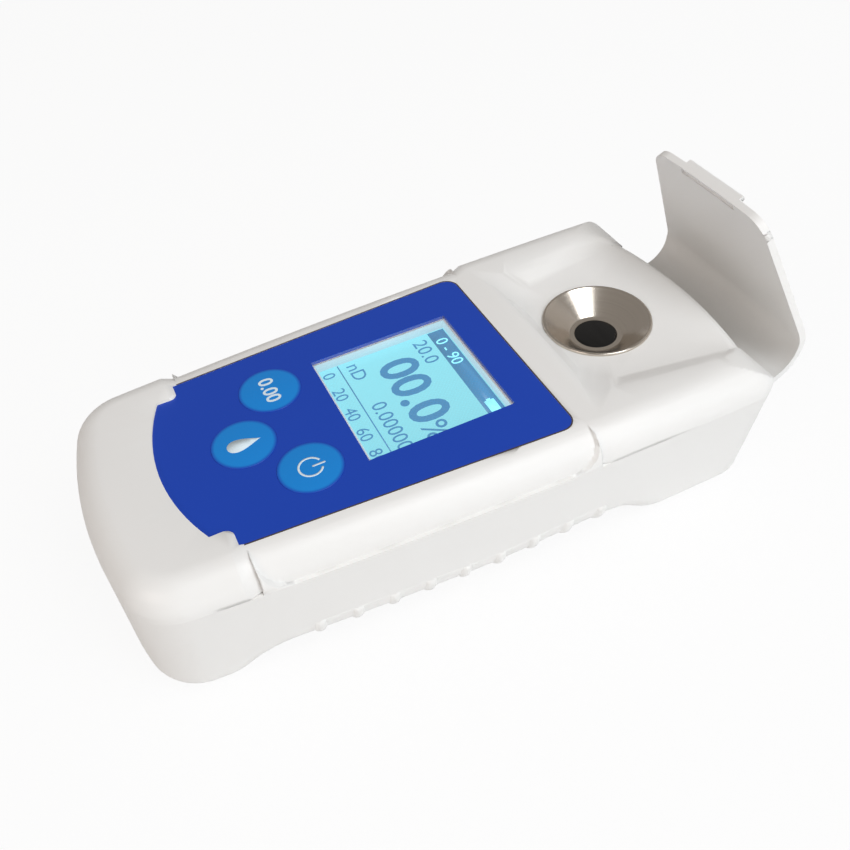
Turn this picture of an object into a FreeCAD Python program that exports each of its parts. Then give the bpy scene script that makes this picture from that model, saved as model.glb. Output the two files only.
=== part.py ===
import FreeCAD, Part
import Sketcher
import math
import os
import re
from FreeCAD import Placement, Rotation, Vector

# Digital refractometer: a hand-held case with a display and three keys at one end, a steel
# sample dish over a prism at the other, and a hinged splash lid, here standing open.
# Millimetres. +X runs from the key end to the dish end, +Z is up, and the origin lies on the
# surface the case rests on, under the middle of the display.

doc = FreeCAD.newDocument("refractometer")
sheet = doc.addObject("Spreadsheet::Sheet", "sizes")

SIZES = [
    # Case outline
    ("cover_height", 6.3, "keypad overlay's face above the joint between the case halves"),
    ("parting_height", 31.7, "height of the joint between the two case halves"),
    ("rail_rise", 0.6, "dish end and key end above the keypad overlay"),
    ("waist_inset", 0.8, "sides of the waist inside the case outline"),
    ("wall", 2.0, "wall of both case halves"),
    ("key_end_beyond", 15.2, "key end's tip beyond the overlay's tip"),
    ("key_end_bulge", 4.6, "how far the key end bulges beyond its corners"),
    ("key_half", 28.0, "half width at the key end's corners"),
    ("middle_half", 31.9, "half width under the display"),
    ("end_beyond_hinge", 3.0, "dish end's tip beyond the hinge axis"),
    ("dish_end_bulge", 1.5, "how far the dish end bulges beyond its corners"),
    ("dish_half", 32.6, "half width at the dish end"),
    ("side_draft", 6.2, "how far the sides lean in at the base"),
    ("key_draft", -0.8, "how far the key end leans in at the base, here out beyond its top"),
    ("dish_draft", -1.0, "how far the dish end leans in at the base, here out beyond its top"),
    ("key_corner_round", 11.0, "corner radius at the key end"),
    ("dish_corner_round", 6.8, "corner radius at the dish end"),
    ("shoulder_round", 6.0, "round of the upper edges"),
    ("base_round", 6.5, "round of the lower edges"),
    ("end_round", 13.0, "round of the dish end's upper edge beside the tray, seen from the side"),
    # Underside
    ("key_foot", -48.5, "inner edge of the key end's foot"),
    ("belly_start", -41.0, "start of the raised underside"),
    ("belly_middle", 5.0, "lowest place of the raised underside"),
    ("belly_end", 27.0, "highest place of the raised underside"),
    ("belly_step", 33.0, "where the underside turns down to the dish end's foot"),
    ("dish_foot", 42.0, "inner edge of the dish end's foot"),
    ("belly_start_rise", 6.2, "rise of the underside at its start"),
    ("belly_middle_rise", 5.2, "rise of the underside at its middle"),
    ("belly_end_rise", 7.4, "rise of the underside at its end"),
    ("belly_step_rise", 7.2, "rise of the underside at the step"),
    ("ridge_first", -33.0, "first grip ridge"),
    ("ridge_pitch", 7.6, "grip ridge spacing"),
    ("ridge_radius", 1.6, "grip ridge radius"),
    ("ridge_proud", 0.6, "how far a grip ridge stands out"),
    # Waist
    ("notch_to_waist", 0.9, "waist's end from the overlay's notches"),
    ("edge_to_waist", 1.7, "waist's end from the overlay's edge"),
    ("waist_slope", 2.5, "length of the slope up to the dish end"),
    ("waist_round", 6.2, "round of the waist's lower corners"),
    # Keypad overlay
    ("overlay_thick", 0.8, "overlay thickness"),
    ("overlay_border", 7.2, "overlay between the display opening and its edge beside the dish end"),
    ("overlay_half", 26.1, "overlay half width beside the dish end"),
    ("overlay_key_half", 22.6, "overlay half width at its notches"),
    ("notch_from_key", 8.0, "notches beyond the measure key's axis"),
    ("overlay_notch_half", 18.8, "half width inside the notches"),
    ("overlay_notch_length", 4.1, "length of the notches"),
    ("overlay_round_end", 8.4, "length of the overlay's round end"),
    ("overlay_corner", 2.7, "overlay corner radius"),
    ("window_length", 30.4, "display opening along X"),
    ("window_width", 30.7, "display opening along Y"),
    ("window_ledge", 0.4, "ledge that the display window rests on"),
    # Keys
    ("key_radius", 6.2, "key radius"),
    ("key_gap", 0.1, "gap round a key"),
    ("key_proud", 0.1, "key face above the overlay"),
    ("key_from_window", 10.1, "zero and power keys from the display opening"),
    ("outer_key_side", 11.7, "zero and power keys, to each side"),
    ("key_row", 9.1, "measure key beyond the other two"),
    ("key_travel", 0.4, "how far a key goes down"),
    ("key_flange", 0.3, "thickness of the flange that keeps a key in"),
    ("stem_radius", 2.8, "key stem radius"),
    ("stem_length", 1.5, "key stem below the overlay"),
    # Display and board
    ("glass_thick", 1.6, "display glass thickness"),
    ("glass_length", 33.0, "display glass along X"),
    ("glass_width", 34.0, "display glass along Y"),
    ("light_thick", 1.6, "backlight thickness"),
    ("frame_rim", 1.5, "rim of the display frame"),
    ("flex_half", 8.0, "half width of the display's flex cable"),
    ("board_drop", 7.0, "main board below the overlay's face"),
    ("board_thick", 1.6, "main board thickness"),
    ("board_beyond_tip", 1.2, "main board beyond the overlay's tip"),
    ("board_beyond_edge", 3.6, "main board beyond the overlay's edge"),
    ("board_half", 22.0, "main board half width"),
    ("switch_side", 6.0, "switch body side"),
    ("switch_body", 3.5, "switch body height"),
    ("switch_nub", 0.7, "switch plunger height"),
    ("switch_nub_radius", 1.75, "switch plunger radius"),
    ("board_screw_inset", 5.0, "board screws from the board's key end"),
    ("screw_from_end", 3.5, "board screws from the board's dish end"),
    ("board_screw_side", 18.5, "board screws to each side"),
    ("boss_radius", 3.0, "screw boss radius"),
    ("screw_radius", 1.0, "small screw radius"),
    ("screw_head", 1.9, "small screw head radius"),
    ("head_thick", 1.3, "small screw head thickness"),
    # Dish and optics
    ("dish_from_front", 11.4, "dish axis beyond the front of the deck"),
    ("dish_radius", 11.5, "outer radius of the dish's lip"),
    ("dish_drop", 1.8, "dish lip below the overlay's face"),
    ("deck_drop", 2.3, "deck round the dish below the overlay's face"),
    ("dish_depth", 4.2, "dish depth"),
    ("dish_mouth", 10.9, "inner radius of the dish's mouth"),
    ("dish_bottom", 5.65, "inner radius of the dish's bottom"),
    ("dish_lip", 0.8, "lip thickness"),
    ("dish_body", 10.6, "outer radius of the dish below its lip"),
    ("dish_neck", 8.3, "outer radius of the dish's lower neck"),
    ("dish_floor", 1.2, "dish floor thickness"),
    ("prism_radius", 4.5, "radius of the prism's round face"),
    ("fit_gap", 0.05, "radial clearance of a close fit"),
    ("seal_thick", 0.4, "prism seal thickness"),
    ("gasket_thick", 0.8, "dish gasket thickness"),
    ("gasket_radius", 13.0, "outer radius of the dish gasket"),
    ("prism_top", 16.0, "prism length at its top"),
    ("prism_foot", 8.0, "prism length at its bottom"),
    ("prism_height", 6.2, "prism height below the seal"),
    ("prism_half", 6.0, "half width of the prism"),
    ("block_half_length", 13.2, "half length of the optics block"),
    ("block_half", 9.8, "half width of the optics block"),
    ("block_drop", 17.9, "optics block below its top"),
    ("block_slant", 9.0, "slanted corners of the optics block"),
    ("probe_radius", 0.9, "temperature sensor radius"),
    ("probe_side", 7.3, "temperature sensor beside the dish axis"),
    ("flange_drop", 9.1, "optics block's flange below the overlay's face"),
    ("flange_thick", 2.0, "flange thickness"),
    ("flange_half", 16.0, "half width of the flange"),
    ("optics_screw_reach", 10.0, "optics screws along X from the dish axis"),
    ("optics_screw_side", 13.0, "optics screws to each side"),
    ("bore_radius", 2.6, "light bore radius"),
    ("lamp_radius", 2.4, "light source radius"),
    ("lamp_length", 5.0, "light source length"),
    # Tray round the dish
    ("tray_from_slope", 5.8, "front of the deck beyond the waist's slope"),
    ("tray_front_half", 15.8, "deck half width at its front"),
    ("tray_back_half", 22.2, "deck half width at the dish end"),
    ("tray_slope", 5.0, "width of the tray's side slopes"),
    ("tray_front_slope", 3.4, "length of the tray's front slope"),
    ("tray_corner", 5.0, "corner radius of the tray"),
    # Lid and hinge
    ("hinge_beyond", 21.4, "hinge axis beyond the dish axis"),
    ("hinge_height", 21.2, "hinge axis above the base"),
    ("lid_open", 66.0, "angle the lid stands open"),
    ("lid_thick", 1.5, "lid thickness"),
    ("lid_over_front", 2.3, "free edge of the closed lid beyond the front of the deck"),
    ("lid_edge_half", 16.9, "half width of the lid's free edge"),
    ("lid_bend_half", 22.9, "half width of the lid at its bend"),
    ("lid_bend_length", 5.45, "length of the lid's bend at its sides"),
    ("lid_foot_half", 24.3, "half width of the lid's end wall"),
    ("lid_beyond_hinge", 1.55, "outer face of the lid's end wall beyond the hinge axis, at its sides"),
    ("lid_bulge", 2.9, "how far the end wall bulges at its middle"),
    ("lid_end_bulge", 3.38, "the same over the full width of the end wall's arc"),
    ("lid_rise", 1.95, "closed lid's upper face above the overlay's face, at its sides"),
    ("lid_crown", 0.8, "rise of the lid at its middle"),
    ("lid_bend_round", 8.5, "outer radius of the lid's bend"),
    ("lid_corner", 5.0, "corner radius of the lid's free edge"),
    ("lid_foot", 20.0, "lower edge of the end wall"),
    ("tab_half", 8.2, "half width of the thumb tab"),
    ("tab_length", 2.4, "thumb tab length"),
    ("tab_proud", 1.2, "thumb tab height"),
    ("knuckle_radius", 2.0, "hinge knuckle radius"),
    ("knuckle_length", 7.0, "hinge knuckle length"),
    ("pin_radius", 0.8, "hinge pin radius"),
    ("pin_seat", 1.5, "hinge pin length in each cheek"),
    ("cheek_gap", 0.3, "gap between the lid and each cheek"),
    ("recess_gap", 0.95, "gap between the lid's end wall and its recess"),
    ("recess_bulge", 3.2, "how far that end face bulges at its middle"),
    ("deck_round", 3.6, "round of the deck's end"),
    ("channel_room", 0.6, "hinge channel behind the hinge knuckles"),
    ("channel_low", 15.6, "bottom of the hinge channel"),
    ("channel_high", 24.0, "top of the hinge channel"),
    # Batteries
    ("cell_radius", 5.2, "battery cell radius"),
    ("cell_length", 42.8, "battery cell length"),
    ("cell_nub", 1.7, "battery cell nub length"),
    ("cell_nub_radius", 1.9, "battery cell nub radius"),
    ("cell_spacing", 10.8, "distance between the cells"),
    ("cell_height", 14.0, "height of the cell axes"),
    ("cell_start", -31.5, "flat end of the first cell"),
    ("bay_start", -35.4, "battery bay towards the key end"),
    ("bay_finish", 15.4, "battery bay towards the dish end"),
    ("bay_half", 11.0, "battery bay half width"),
    ("bay_roof", 19.5, "battery bay ceiling"),
    ("bay_wall", 2.6, "battery bay wall"),
    ("bay_foot", 6.9, "bottom of the battery bay's walls"),
    ("door_inner", 8.2, "inner face of the battery door"),
    ("door_ledge", 1.6, "door outside the bay on each side"),
    ("door_gap", 0.25, "gap round the battery door"),
    ("door_barrel", 1.0, "radius of the battery door's hinge barrel"),
    ("trunnion_radius", 0.7, "radius of the battery door's hinge pins"),
    ("trunnion_length", 0.9, "length of the battery door's hinge pins"),
    ("latch_half", 4.5, "half width of the battery door's latch"),
    ("latch_slot", 0.6, "slots beside the latch"),
    ("latch_length", 7.0, "length of the latch"),
    ("contact_thick", 0.4, "battery contact thickness"),
    ("contact_side", 8.6, "battery contact side"),
    ("leg_half", 1.0, "half width of a battery contact's leg"),
    ("spring_radius", 2.6, "battery spring radius"),
    ("spring_wire", 0.35, "battery spring wire radius"),
    # Case screws
    ("post_beyond_board", 2.0, "case screws at the key end beyond the main board"),
    ("case_screw_key_side", 14.0, "their distance to each side"),
    ("post_beyond_dish", 7.2, "case screws at the dish end beyond the dish axis"),
    ("case_screw_dish_side", 21.0, "their distance to each side"),
    ("case_post", 3.4, "case post radius"),
    ("case_seat", 9.0, "height of the case screws' heads' seat"),
    ("case_joint", 22.0, "height where the posts meet"),
    ("case_head", 2.2, "case screw head radius"),
    ("case_head_thick", 1.8, "case screw head thickness"),
    ("case_length", 18.0, "case screw length under its head"),
    ("foot_floor", 3.0, "floor of the case above its underside"),
    ("foot_wall", 2.0, "how much thicker the case's sides are at its base"),
]

# Sizes that follow others, so that what lines up stays lined up
TIED = [
    ("panel_plane", "parting_height + cover_height", "height of the keypad overlay's face"),
    ("outer_key_reach", "window_length / 2 + key_from_window", "zero and power keys, towards the key end"),
    ("middle_key_reach", "outer_key_reach + key_row", "measure key, towards the key end"),
    ("overlay_notch", "middle_key_reach + notch_from_key", "notch position"),
    ("overlay_tip", "overlay_notch + overlay_round_end", "tip of the overlay's round end"),
    ("waist_key_side", "notch_to_waist - overlay_notch", "waist's end towards the keys"),
    ("key_end", "overlay_tip + key_end_beyond", "tip of the key end"),
    ("key_end_corner", "key_end - key_end_bulge", "corners of the key end"),
    ("board_key_end", "overlay_tip + board_beyond_tip", "main board towards the key end"),
    ("board_screw_reach", "board_key_end - board_screw_inset", "board screws towards the key end"),
    ("case_screw_key", "board_key_end + post_beyond_board", "case screws at the key end"),
    ("overlay_edge", "window_length / 2 + overlay_border", "overlay edge beside the dish end"),
    ("waist_dish_side", "overlay_edge + edge_to_waist", "waist's end towards the dish"),
    ("board_dish_end", "overlay_edge + board_beyond_edge", "main board towards the dish end"),
    ("board_screw_near", "board_dish_end - screw_from_end", "board screws towards the dish end"),
    ("tray_front", "waist_dish_side + waist_slope + tray_from_slope", "front of the deck"),
    ("dish_reach", "tray_front + dish_from_front", "dish axis along X"),
    ("case_screw_dish", "dish_reach + post_beyond_dish", "case screws at the dish end"),
    ("channel_back", "hinge_reach - knuckle_radius - channel_room", "back of the hinge channel"),
    ("hinge_reach", "dish_reach + hinge_beyond", "hinge axis along X"),
    ("dish_end", "hinge_reach + end_beyond_hinge", "tip of the dish end"),
    ("dish_end_corner", "dish_end - dish_end_bulge", "corners of the dish end"),
    ("lid_edge", "tray_front - lid_over_front", "free edge of the closed lid"),
    ("lid_side", "hinge_reach + lid_beyond_hinge", "outer face of the lid's end wall at its sides"),
    ("lid_bend", "lid_side - lid_bend_length", "start of the lid's bend"),
    ("recess_side", "lid_side - lid_thick - recess_gap", "end face of the lid's recess at its sides"),
    ("board_top", "panel_plane - board_drop", "upper face of the main board"),
    ("flange_top", "panel_plane - flange_drop", "upper face of the optics block's flange"),
    ("lid_top", "panel_plane + lid_rise", "upper face of the closed lid at its sides"),
]

for row, (alias, value, note) in enumerate(SIZES + TIED, start=1):
    sheet.set("A%d" % row, note)
    sheet.setAlias("B%d" % row, alias)
for row, (alias, value, note) in enumerate(SIZES + TIED, start=1):
    sheet.set("B%d" % row, "=" + value if isinstance(value, str) else str(value))
doc.recompute()
NAMES = {alias for alias, value, note in SIZES + TIED}


def bound(text):
    """Turn the words of a formula into references to the sheet."""
    return re.sub(r"[a-z_]+", lambda word: "sizes." + word[0] if word[0] in NAMES else word[0], text)


def number(text):
    """Value of a formula of sheet words."""
    return float(sheet.evalExpression(bound(text)))


def bind(thing, prop, text):
    thing.setExpression(prop, bound(text))


def place(thing, x="0", y="0", z="0"):
    bind(thing, "Placement.Base.x", x)
    bind(thing, "Placement.Base.y", y)
    bind(thing, "Placement.Base.z", z)


def block(name, x, y, z):
    """Box between pairs of formulas along X, Y and Z."""
    box = doc.addObject("Part::Box", name)
    bind(box, "Length", "(%s) - (%s)" % (x[1], x[0]))
    bind(box, "Width", "(%s) - (%s)" % (y[1], y[0]))
    bind(box, "Height", "(%s) - (%s)" % (z[1], z[0]))
    place(box, x[0], y[0], z[0])
    return box


TURN = {"X": Rotation(Vector(0, 1, 0), 90), "Y": Rotation(Vector(1, 0, 0), -90), "Z": Rotation()}


def rod(name, radius, start, length, axis="Z"):
    """Cylinder from a start point along an axis."""
    cylinder = doc.addObject("Part::Cylinder", name)
    bind(cylinder, "Radius", radius)
    bind(cylinder, "Height", length)
    cylinder.Placement = Placement(Vector(), TURN[axis])
    place(cylinder, *start)
    return cylinder


def fuse(name, *shapes):
    union = doc.addObject("Part::MultiFuse", name)
    union.Shapes = list(shapes)
    return union


def cut(name, base, *tools):
    difference = doc.addObject("Part::Cut", name)
    difference.Base = base
    difference.Tool = tools[0] if len(tools) == 1 else fuse(name + "_tools", *tools)
    return difference


def common(name, *shapes):
    overlap = doc.addObject("Part::MultiCommon", name)
    overlap.Shapes = list(shapes)
    return overlap


def group(name, *shapes):
    """Separate solids that share one node."""
    compound = doc.addObject("Part::Compound", name)
    compound.Links = list(shapes)
    return compound


def sketch_on(body, name, role, offset="0"):
    """Sketch on one of its body's origin planes, moved along the plane's normal."""
    plane = [f for f in body.Origin.OriginFeatures if f.Role == role][0]
    sketch = body.newObject("Sketcher::SketchObject", name)
    sketch.AttachmentSupport = [(plane, "")]
    sketch.MapMode = "FlatFace"
    bind(sketch, "AttachmentOffset.Base.z", offset)
    return sketch


def outline(sketch, corners):
    """Closed outline. Each corner is (x, y) or (x, y, via), where via is a point on an arc to the next."""
    points = [Vector(number(c[0]), number(c[1]), 0) for c in corners]
    count = len(corners)
    for index, corner in enumerate(corners):
        start, finish = points[index], points[(index + 1) % count]
        if len(corner) == 3:
            via = Vector(number(corner[2][0]), number(corner[2][1]), 0)
            curve = Part.Arc(start, via, finish)
            sketch.addGeometry(curve)
        else:
            sketch.addGeometry(Part.LineSegment(start, finish))
    starts = []
    for index in range(count):
        begins = (sketch.getPoint(index, 1) - points[index]).Length < 1e-6
        starts.append(1 if begins else 2)
    for index in range(count):
        follower = (index + 1) % count
        sketch.addConstraint(_coincident(index, 3 - starts[index], follower, starts[follower]))
    for index, corner in enumerate(corners):
        _pin_point(sketch, index, starts[index], corner[0], corner[1])
    for index, corner in enumerate(corners):
        if len(corner) == 3:
            via = Vector(number(corner[2][0]), number(corner[2][1]), 0)
            dot = sketch.addGeometry(Part.Point(via), True)
            sketch.addConstraint(_on_curve(dot, index))
            _pin_point(sketch, dot, 1, corner[2][0], corner[2][1])


def _coincident(first, first_end, second, second_end):
    return Sketcher.Constraint("Coincident", first, first_end, second, second_end)


def _on_curve(dot, curve):
    return Sketcher.Constraint("PointOnObject", dot, 1, curve)


def _pin_point(sketch, geometry, end, x, y):
    """Tie a point of a sketch to formulas for its two coordinates."""
    for kind, text in (("DistanceX", x), ("DistanceY", y)):
        tie = sketch.addConstraint(Sketcher.Constraint(kind, geometry, end, number(text)))
        if NAMES & set(re.findall(r"[a-z_]+", text)):
            sketch.setExpression("Constraints[%d]" % tie, bound(text))


def pad(body, name, sketch, length, reversed_way=False, both_ways=False):
    feature = body.newObject("PartDesign::Pad", name)
    feature.Profile = sketch
    bind(feature, "Length", length)
    feature.Reversed = reversed_way
    feature.Midplane = both_ways
    return feature


def prism_body(name, role, corners, offset, length, both_ways=False, reversed_way=False):
    """Body made of one outline carried straight along its plane's normal."""
    body = doc.addObject("PartDesign::Body", name)
    sketch = sketch_on(body, name + "_outline", role, offset)
    outline(sketch, corners)
    pad(body, name + "_pad", sketch, length, reversed_way, both_ways)
    doc.recompute()
    return body


def loft_body(name, low, low_height, high, high_height):
    """Body lofted straight between a low and a high level outline."""
    body = doc.addObject("PartDesign::Body", name)
    first = sketch_on(body, name + "_low", "XY_Plane", low_height)
    outline(first, low)
    second = sketch_on(body, name + "_high", "XY_Plane", high_height)
    outline(second, high)
    loft = body.newObject("PartDesign::AdditiveLoft", name + "_loft")
    loft.Profile = second
    loft.Sections = [first]
    loft.Ruled = True
    doc.recompute()
    return body


def round_edges(body, name, radius, chosen):
    """Fillet of a body's edges that a test picks out."""
    base = body.Tip
    edges = ["Edge%d" % (i + 1) for i, edge in enumerate(base.Shape.Edges) if chosen(edge)]
    fillet = body.newObject("PartDesign::Fillet", name)
    fillet.Base = (base, edges)
    bind(fillet, "Radius", radius)
    doc.recompute()
    return fillet


def middle(edge):
    return edge.valueAt((edge.FirstParameter + edge.LastParameter) / 2)


def ends(edge):
    return edge.Vertexes[0].Point, edge.Vertexes[-1].Point


def upright(edge):
    """True for an edge that climbs more than it runs."""
    low, high = ends(edge)
    return abs(high.z - low.z) > abs(high.x - low.x) + abs(high.y - low.y)


PIECES = []


def piece(thing, label):
    """Register a finished piece under the name of its file."""
    thing.Label = label
    PIECES.append(thing)
    return thing


def case_outline(inset="0", lean="0"):
    """Plan of the case, inset all round, leaning in towards the base."""
    corner = "-(key_end_corner - (%s) - (%s) * key_draft)" % (inset, lean)
    half = "key_half - (%s) - (%s) * side_draft" % (inset, lean)
    tip = "-(key_end - (%s) - (%s) * key_draft)" % (inset, lean)
    side = "middle_half - (%s) - (%s) * side_draft" % (inset, lean)
    far_corner = "dish_end_corner - (%s) - (%s) * dish_draft" % (inset, lean)
    far_half = "dish_half - (%s) - (%s) * side_draft" % (inset, lean)
    far_tip = "dish_end - (%s) - (%s) * dish_draft" % (inset, lean)
    return [
        (corner, "-(%s)" % half, ("0", "-(%s)" % side)),
        (far_corner, "-(%s)" % far_half, (far_tip, "0")),
        (far_corner, far_half, ("0", side)),
        (corner, half, (tip, "0")),
    ]


def round_case_corners(body, inset):
    """Round the four upright corners of a case outline."""
    name = body.Name
    round_edges(body, name + "_key_corners", "key_corner_round - (%s)" % inset,
                lambda edge: upright(edge) and middle(edge).x < 0)
    round_edges(body, name + "_dish_corners", "dish_corner_round - (%s)" % inset,
                lambda edge: upright(edge) and middle(edge).x > number("dish_reach"))


def envelope(name, inset, top):
    """Upper half of the case as a solid with round shoulders."""
    body = prism_body(name, "XY_Plane", case_outline(inset), "parting_height",
                      "%s - parting_height" % top)
    round_case_corners(body, inset)
    level = number(top)
    round_edges(body, name + "_shoulders", "shoulder_round",
                lambda edge: min(vertex.Z for vertex in edge.Vertexes) > level - 0.01)
    return body


# Top cover: envelope of the two ends, a smaller one for the waist, and slopes between them
ends_form = envelope("cover_ends", "0", "panel_plane + rail_rise")
waist_form = envelope("cover_waist", "waist_inset", "panel_plane")
beyond = "dish_end + wall"
key_side = block("key_side", ("-(%s)" % beyond, "waist_key_side - waist_slope"),
                 ("-(%s)" % beyond, beyond), ("0", beyond))
dish_side = block("dish_side", ("waist_dish_side + waist_slope", beyond),
                  ("-(%s)" % beyond, beyond), ("0", beyond))
key_cap = common("key_cap", ends_form, key_side)
dish_cap = common("dish_cap", ends_form, dish_side)
doc.recompute()


def slope_between(name, waist_cell, end_cell):
    """Slope from the waist's section to the section of the fuller end beside it."""
    low = waist_form.Shape.slice(Vector(1, 0, 0), number(waist_cell))[0]
    high = ends_form.Shape.slice(Vector(1, 0, 0), number(end_cell))[0]
    slope = doc.addObject("Part::Feature", name)
    slope.Shape = Part.makeLoft([low, high], True, True)
    return slope


key_slope = slope_between("key_slope", "waist_key_side", "waist_key_side - waist_slope")
dish_slope = slope_between("dish_slope", "waist_dish_side", "waist_dish_side + waist_slope")


def waist_corner(name, edge, direction):
    """Fill under the arc where the waist's end turns into its lower edge."""
    reach = "%s %s waist_round" % (edge, "-" if direction > 0 else "+")
    turn = "%s %s waist_round * 0.29289" % (edge, "-" if direction > 0 else "+")
    corners = [
        (reach, "parting_height", (turn, "parting_height + waist_round * 0.29289")),
        (edge, "parting_height + waist_round"),
        (edge, "parting_height"),
    ]
    fill = prism_body(name, "XZ_Plane", corners, "0", "2 * (%s)" % beyond, both_ways=True)
    return common(name + "_skin", fill, ends_form)


key_fill = waist_corner("key_fill", "waist_key_side", -1)
dish_fill = waist_corner("dish_fill", "waist_dish_side", 1)
cover_form = fuse("cover_form", waist_form, key_cap, dish_cap, key_slope, dish_slope, key_fill, dish_fill)
doc.recompute()


# Tray round the dish: a sunk deck with sloping sides, open at the dish end
tray_depth = "(deck_drop + rail_rise)"
deck_level = "(panel_plane - deck_drop)"
overshoot = "((%s + 1) / %s)" % (tray_depth, tray_depth)


def tray_outline(front, half, back_half):
    """Plan of the tray at one height: round corners at its front, open at the dish end."""
    back = "(dish_end + wall)"
    flare = "((%s) - (%s)) / (%s - (%s))" % (back_half, half, back, front)
    start = "(%s) - tray_corner" % half
    finish = "(%s) + tray_corner * %s" % (half, flare)
    turn_x = "(%s) + tray_corner * 0.28" % front
    turn_y = "(%s) - tray_corner * 0.21" % half
    side_x = "(%s) + tray_corner" % front
    return [
        (side_x, "-(%s)" % finish),
        (back, "-(%s)" % back_half),
        (back, back_half),
        (side_x, finish, (turn_x, turn_y)),
        (front, start),
        (front, "-(%s)" % start, (turn_x, "-(%s)" % turn_y)),
    ]


tray_spread = "tray_slope * %s" % overshoot
tray = loft_body(
    "tray",
    tray_outline("tray_front", "tray_front_half", "tray_back_half"),
    deck_level,
    tray_outline("tray_front - tray_front_slope * %s" % overshoot, "tray_front_half + %s" % tray_spread,
                 "tray_back_half + %s" % tray_spread),
    "panel_plane + rail_rise + 1",
)

# Recess of the lid's end wall in the end of the case, and the channel its hinge turns in
recess_half = "(lid_foot_half + cheek_gap)"


def end_recess(name, low, high):
    """Cutter behind the end wall of the lid, between two heights."""
    corners = [
        ("recess_side", "-%s" % recess_half, ("recess_side + recess_bulge", "0")),
        ("recess_side", recess_half),
        ("dish_end + 2 * wall", recess_half),
        ("dish_end + 2 * wall", "-%s" % recess_half),
    ]
    return prism_body(name, "XY_Plane", corners, low, "(%s) - (%s)" % (high, low))


cover_recess = end_recess("cover_recess", "parting_height - wall", "panel_plane + 2 * wall")
shell_recess = end_recess("shell_recess", "channel_low", "parting_height + wall")
channel = block("channel", ("channel_back", "dish_end + wall"), ("-%s" % recess_half, recess_half),
                ("channel_low", "channel_high"))


def turned_body(name, corners, axis_x="0", axis_y="0", angle="360"):
    """Body turned about an upright axis; its outline is (distance from the axis, height)."""
    body = doc.addObject("PartDesign::Body", name)
    sketch = sketch_on(body, name + "_outline", "XZ_Plane", "-(%s)" % axis_y)
    bind(sketch, "AttachmentOffset.Base.x", axis_x)
    outline(sketch, corners)
    turn = body.newObject("PartDesign::Revolution", name + "_turn")
    turn.Profile = sketch
    turn.ReferenceAxis = (sketch, ["V_Axis"])
    turn.Midplane = True
    bind(turn, "Angle", angle)
    doc.recompute()
    return body


# The deck rolls over into the end face along a quarter round
end_radius = "((%s * %s + recess_bulge * recess_bulge) / (2 * recess_bulge))" % (recess_half, recess_half)
end_axis = "(recess_side + recess_bulge - %s)" % end_radius
roll_turn = "0.29289 * deck_round"
roll_corners = [
    ("%s - deck_round" % end_radius, "%s + rail_rise" % deck_level),
    ("%s + wall" % end_radius, "%s + rail_rise" % deck_level),
    ("%s + wall" % end_radius, "%s - deck_round" % deck_level),
    (end_radius, "%s - deck_round" % deck_level,
     ("%s - %s" % (end_radius, roll_turn), "%s - %s" % (deck_level, roll_turn))),
    ("%s - deck_round" % end_radius, deck_level),
]
roll_ring = turned_body("roll_ring", roll_corners, end_axis, "0", "60")
rolled_half = "(tray_back_half - rail_rise)"
roll_width = block("roll_width", ("tray_front", "2 * dish_end"), ("-%s" % rolled_half, rolled_half),
                   ("parting_height", "panel_plane"))
deck_roll = common("deck_roll", roll_ring, roll_width)

# The dish end's upper edge beside the tray rolls down over the joint between the case halves
end_top = "(panel_plane + rail_rise)"
end_blocks = [block("end_block_%s" % side, ("dish_end - end_round", beyond), (low, high),
                    ("%s - end_round" % end_top, "%s + wall" % end_top))
              for side, low, high in (("far", rolled_half, beyond), ("near", "-(%s)" % beyond, "-%s" % rolled_half))]
end_roll = rod("end_roll", "end_round", ("dish_end - end_round", "-(%s)" % beyond, "%s - end_round" % end_top),
               "2 * (%s)" % beyond, "Y")
end_rounding = cut("end_rounding", fuse("end_blocks", *end_blocks), end_roll)
rolled = cut("cover_rolled", cover_form, tray, cover_recess, deck_roll, end_rounding)
doc.recompute()


# Inside of the top cover
cover_ceiling = "(panel_plane - overlay_thick - wall)"
deck_ceiling = "(panel_plane - deck_drop - wall)"
deep = prism_body("cover_hollow", "XY_Plane", case_outline("waist_inset + wall"), "parting_height - wall",
                  "%s - parting_height + wall" % cover_ceiling)
round_case_corners(deep, "waist_inset + wall")
ceiling_level = number(cover_ceiling)
round_edges(deep, "cover_hollow_round", "wall",
            lambda edge: min(v.Z for v in edge.Vertexes) > ceiling_level - 0.01)
under_deck = block("under_deck", ("tray_front - tray_front_slope - wall", beyond),
                   ("-(%s)" % beyond, beyond), (deck_ceiling, "panel_plane + wall"))
behind_recess = block("behind_recess", ("recess_side - wall", beyond), ("-(%s)" % beyond, beyond),
                      ("0", "panel_plane + wall"))
hollow = cut("cover_hollow_cut", deep, under_deck, behind_recess)


def overlay_outline(gap="0"):
    """Plan of the keypad overlay with its notches and its round end."""
    edge = "overlay_edge + %s" % gap
    half = "overlay_half + %s" % gap
    key_half = "overlay_key_half + %s" % gap
    notch = "-(overlay_notch + %s)" % gap
    inner = "overlay_notch_half + %s" % gap
    back = "-(overlay_notch + overlay_notch_length + %s)" % gap
    near = [
        (back, "-(%s)" % inner),
        (notch, "-(%s)" % inner),
        (notch, "-(%s)" % key_half),
        (edge, "-(%s)" % half),
        (edge, half),
        (notch, key_half),
        (notch, inner),
        (back, inner, ("-(overlay_tip + %s)" % gap, "0")),
    ]
    return near


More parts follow.
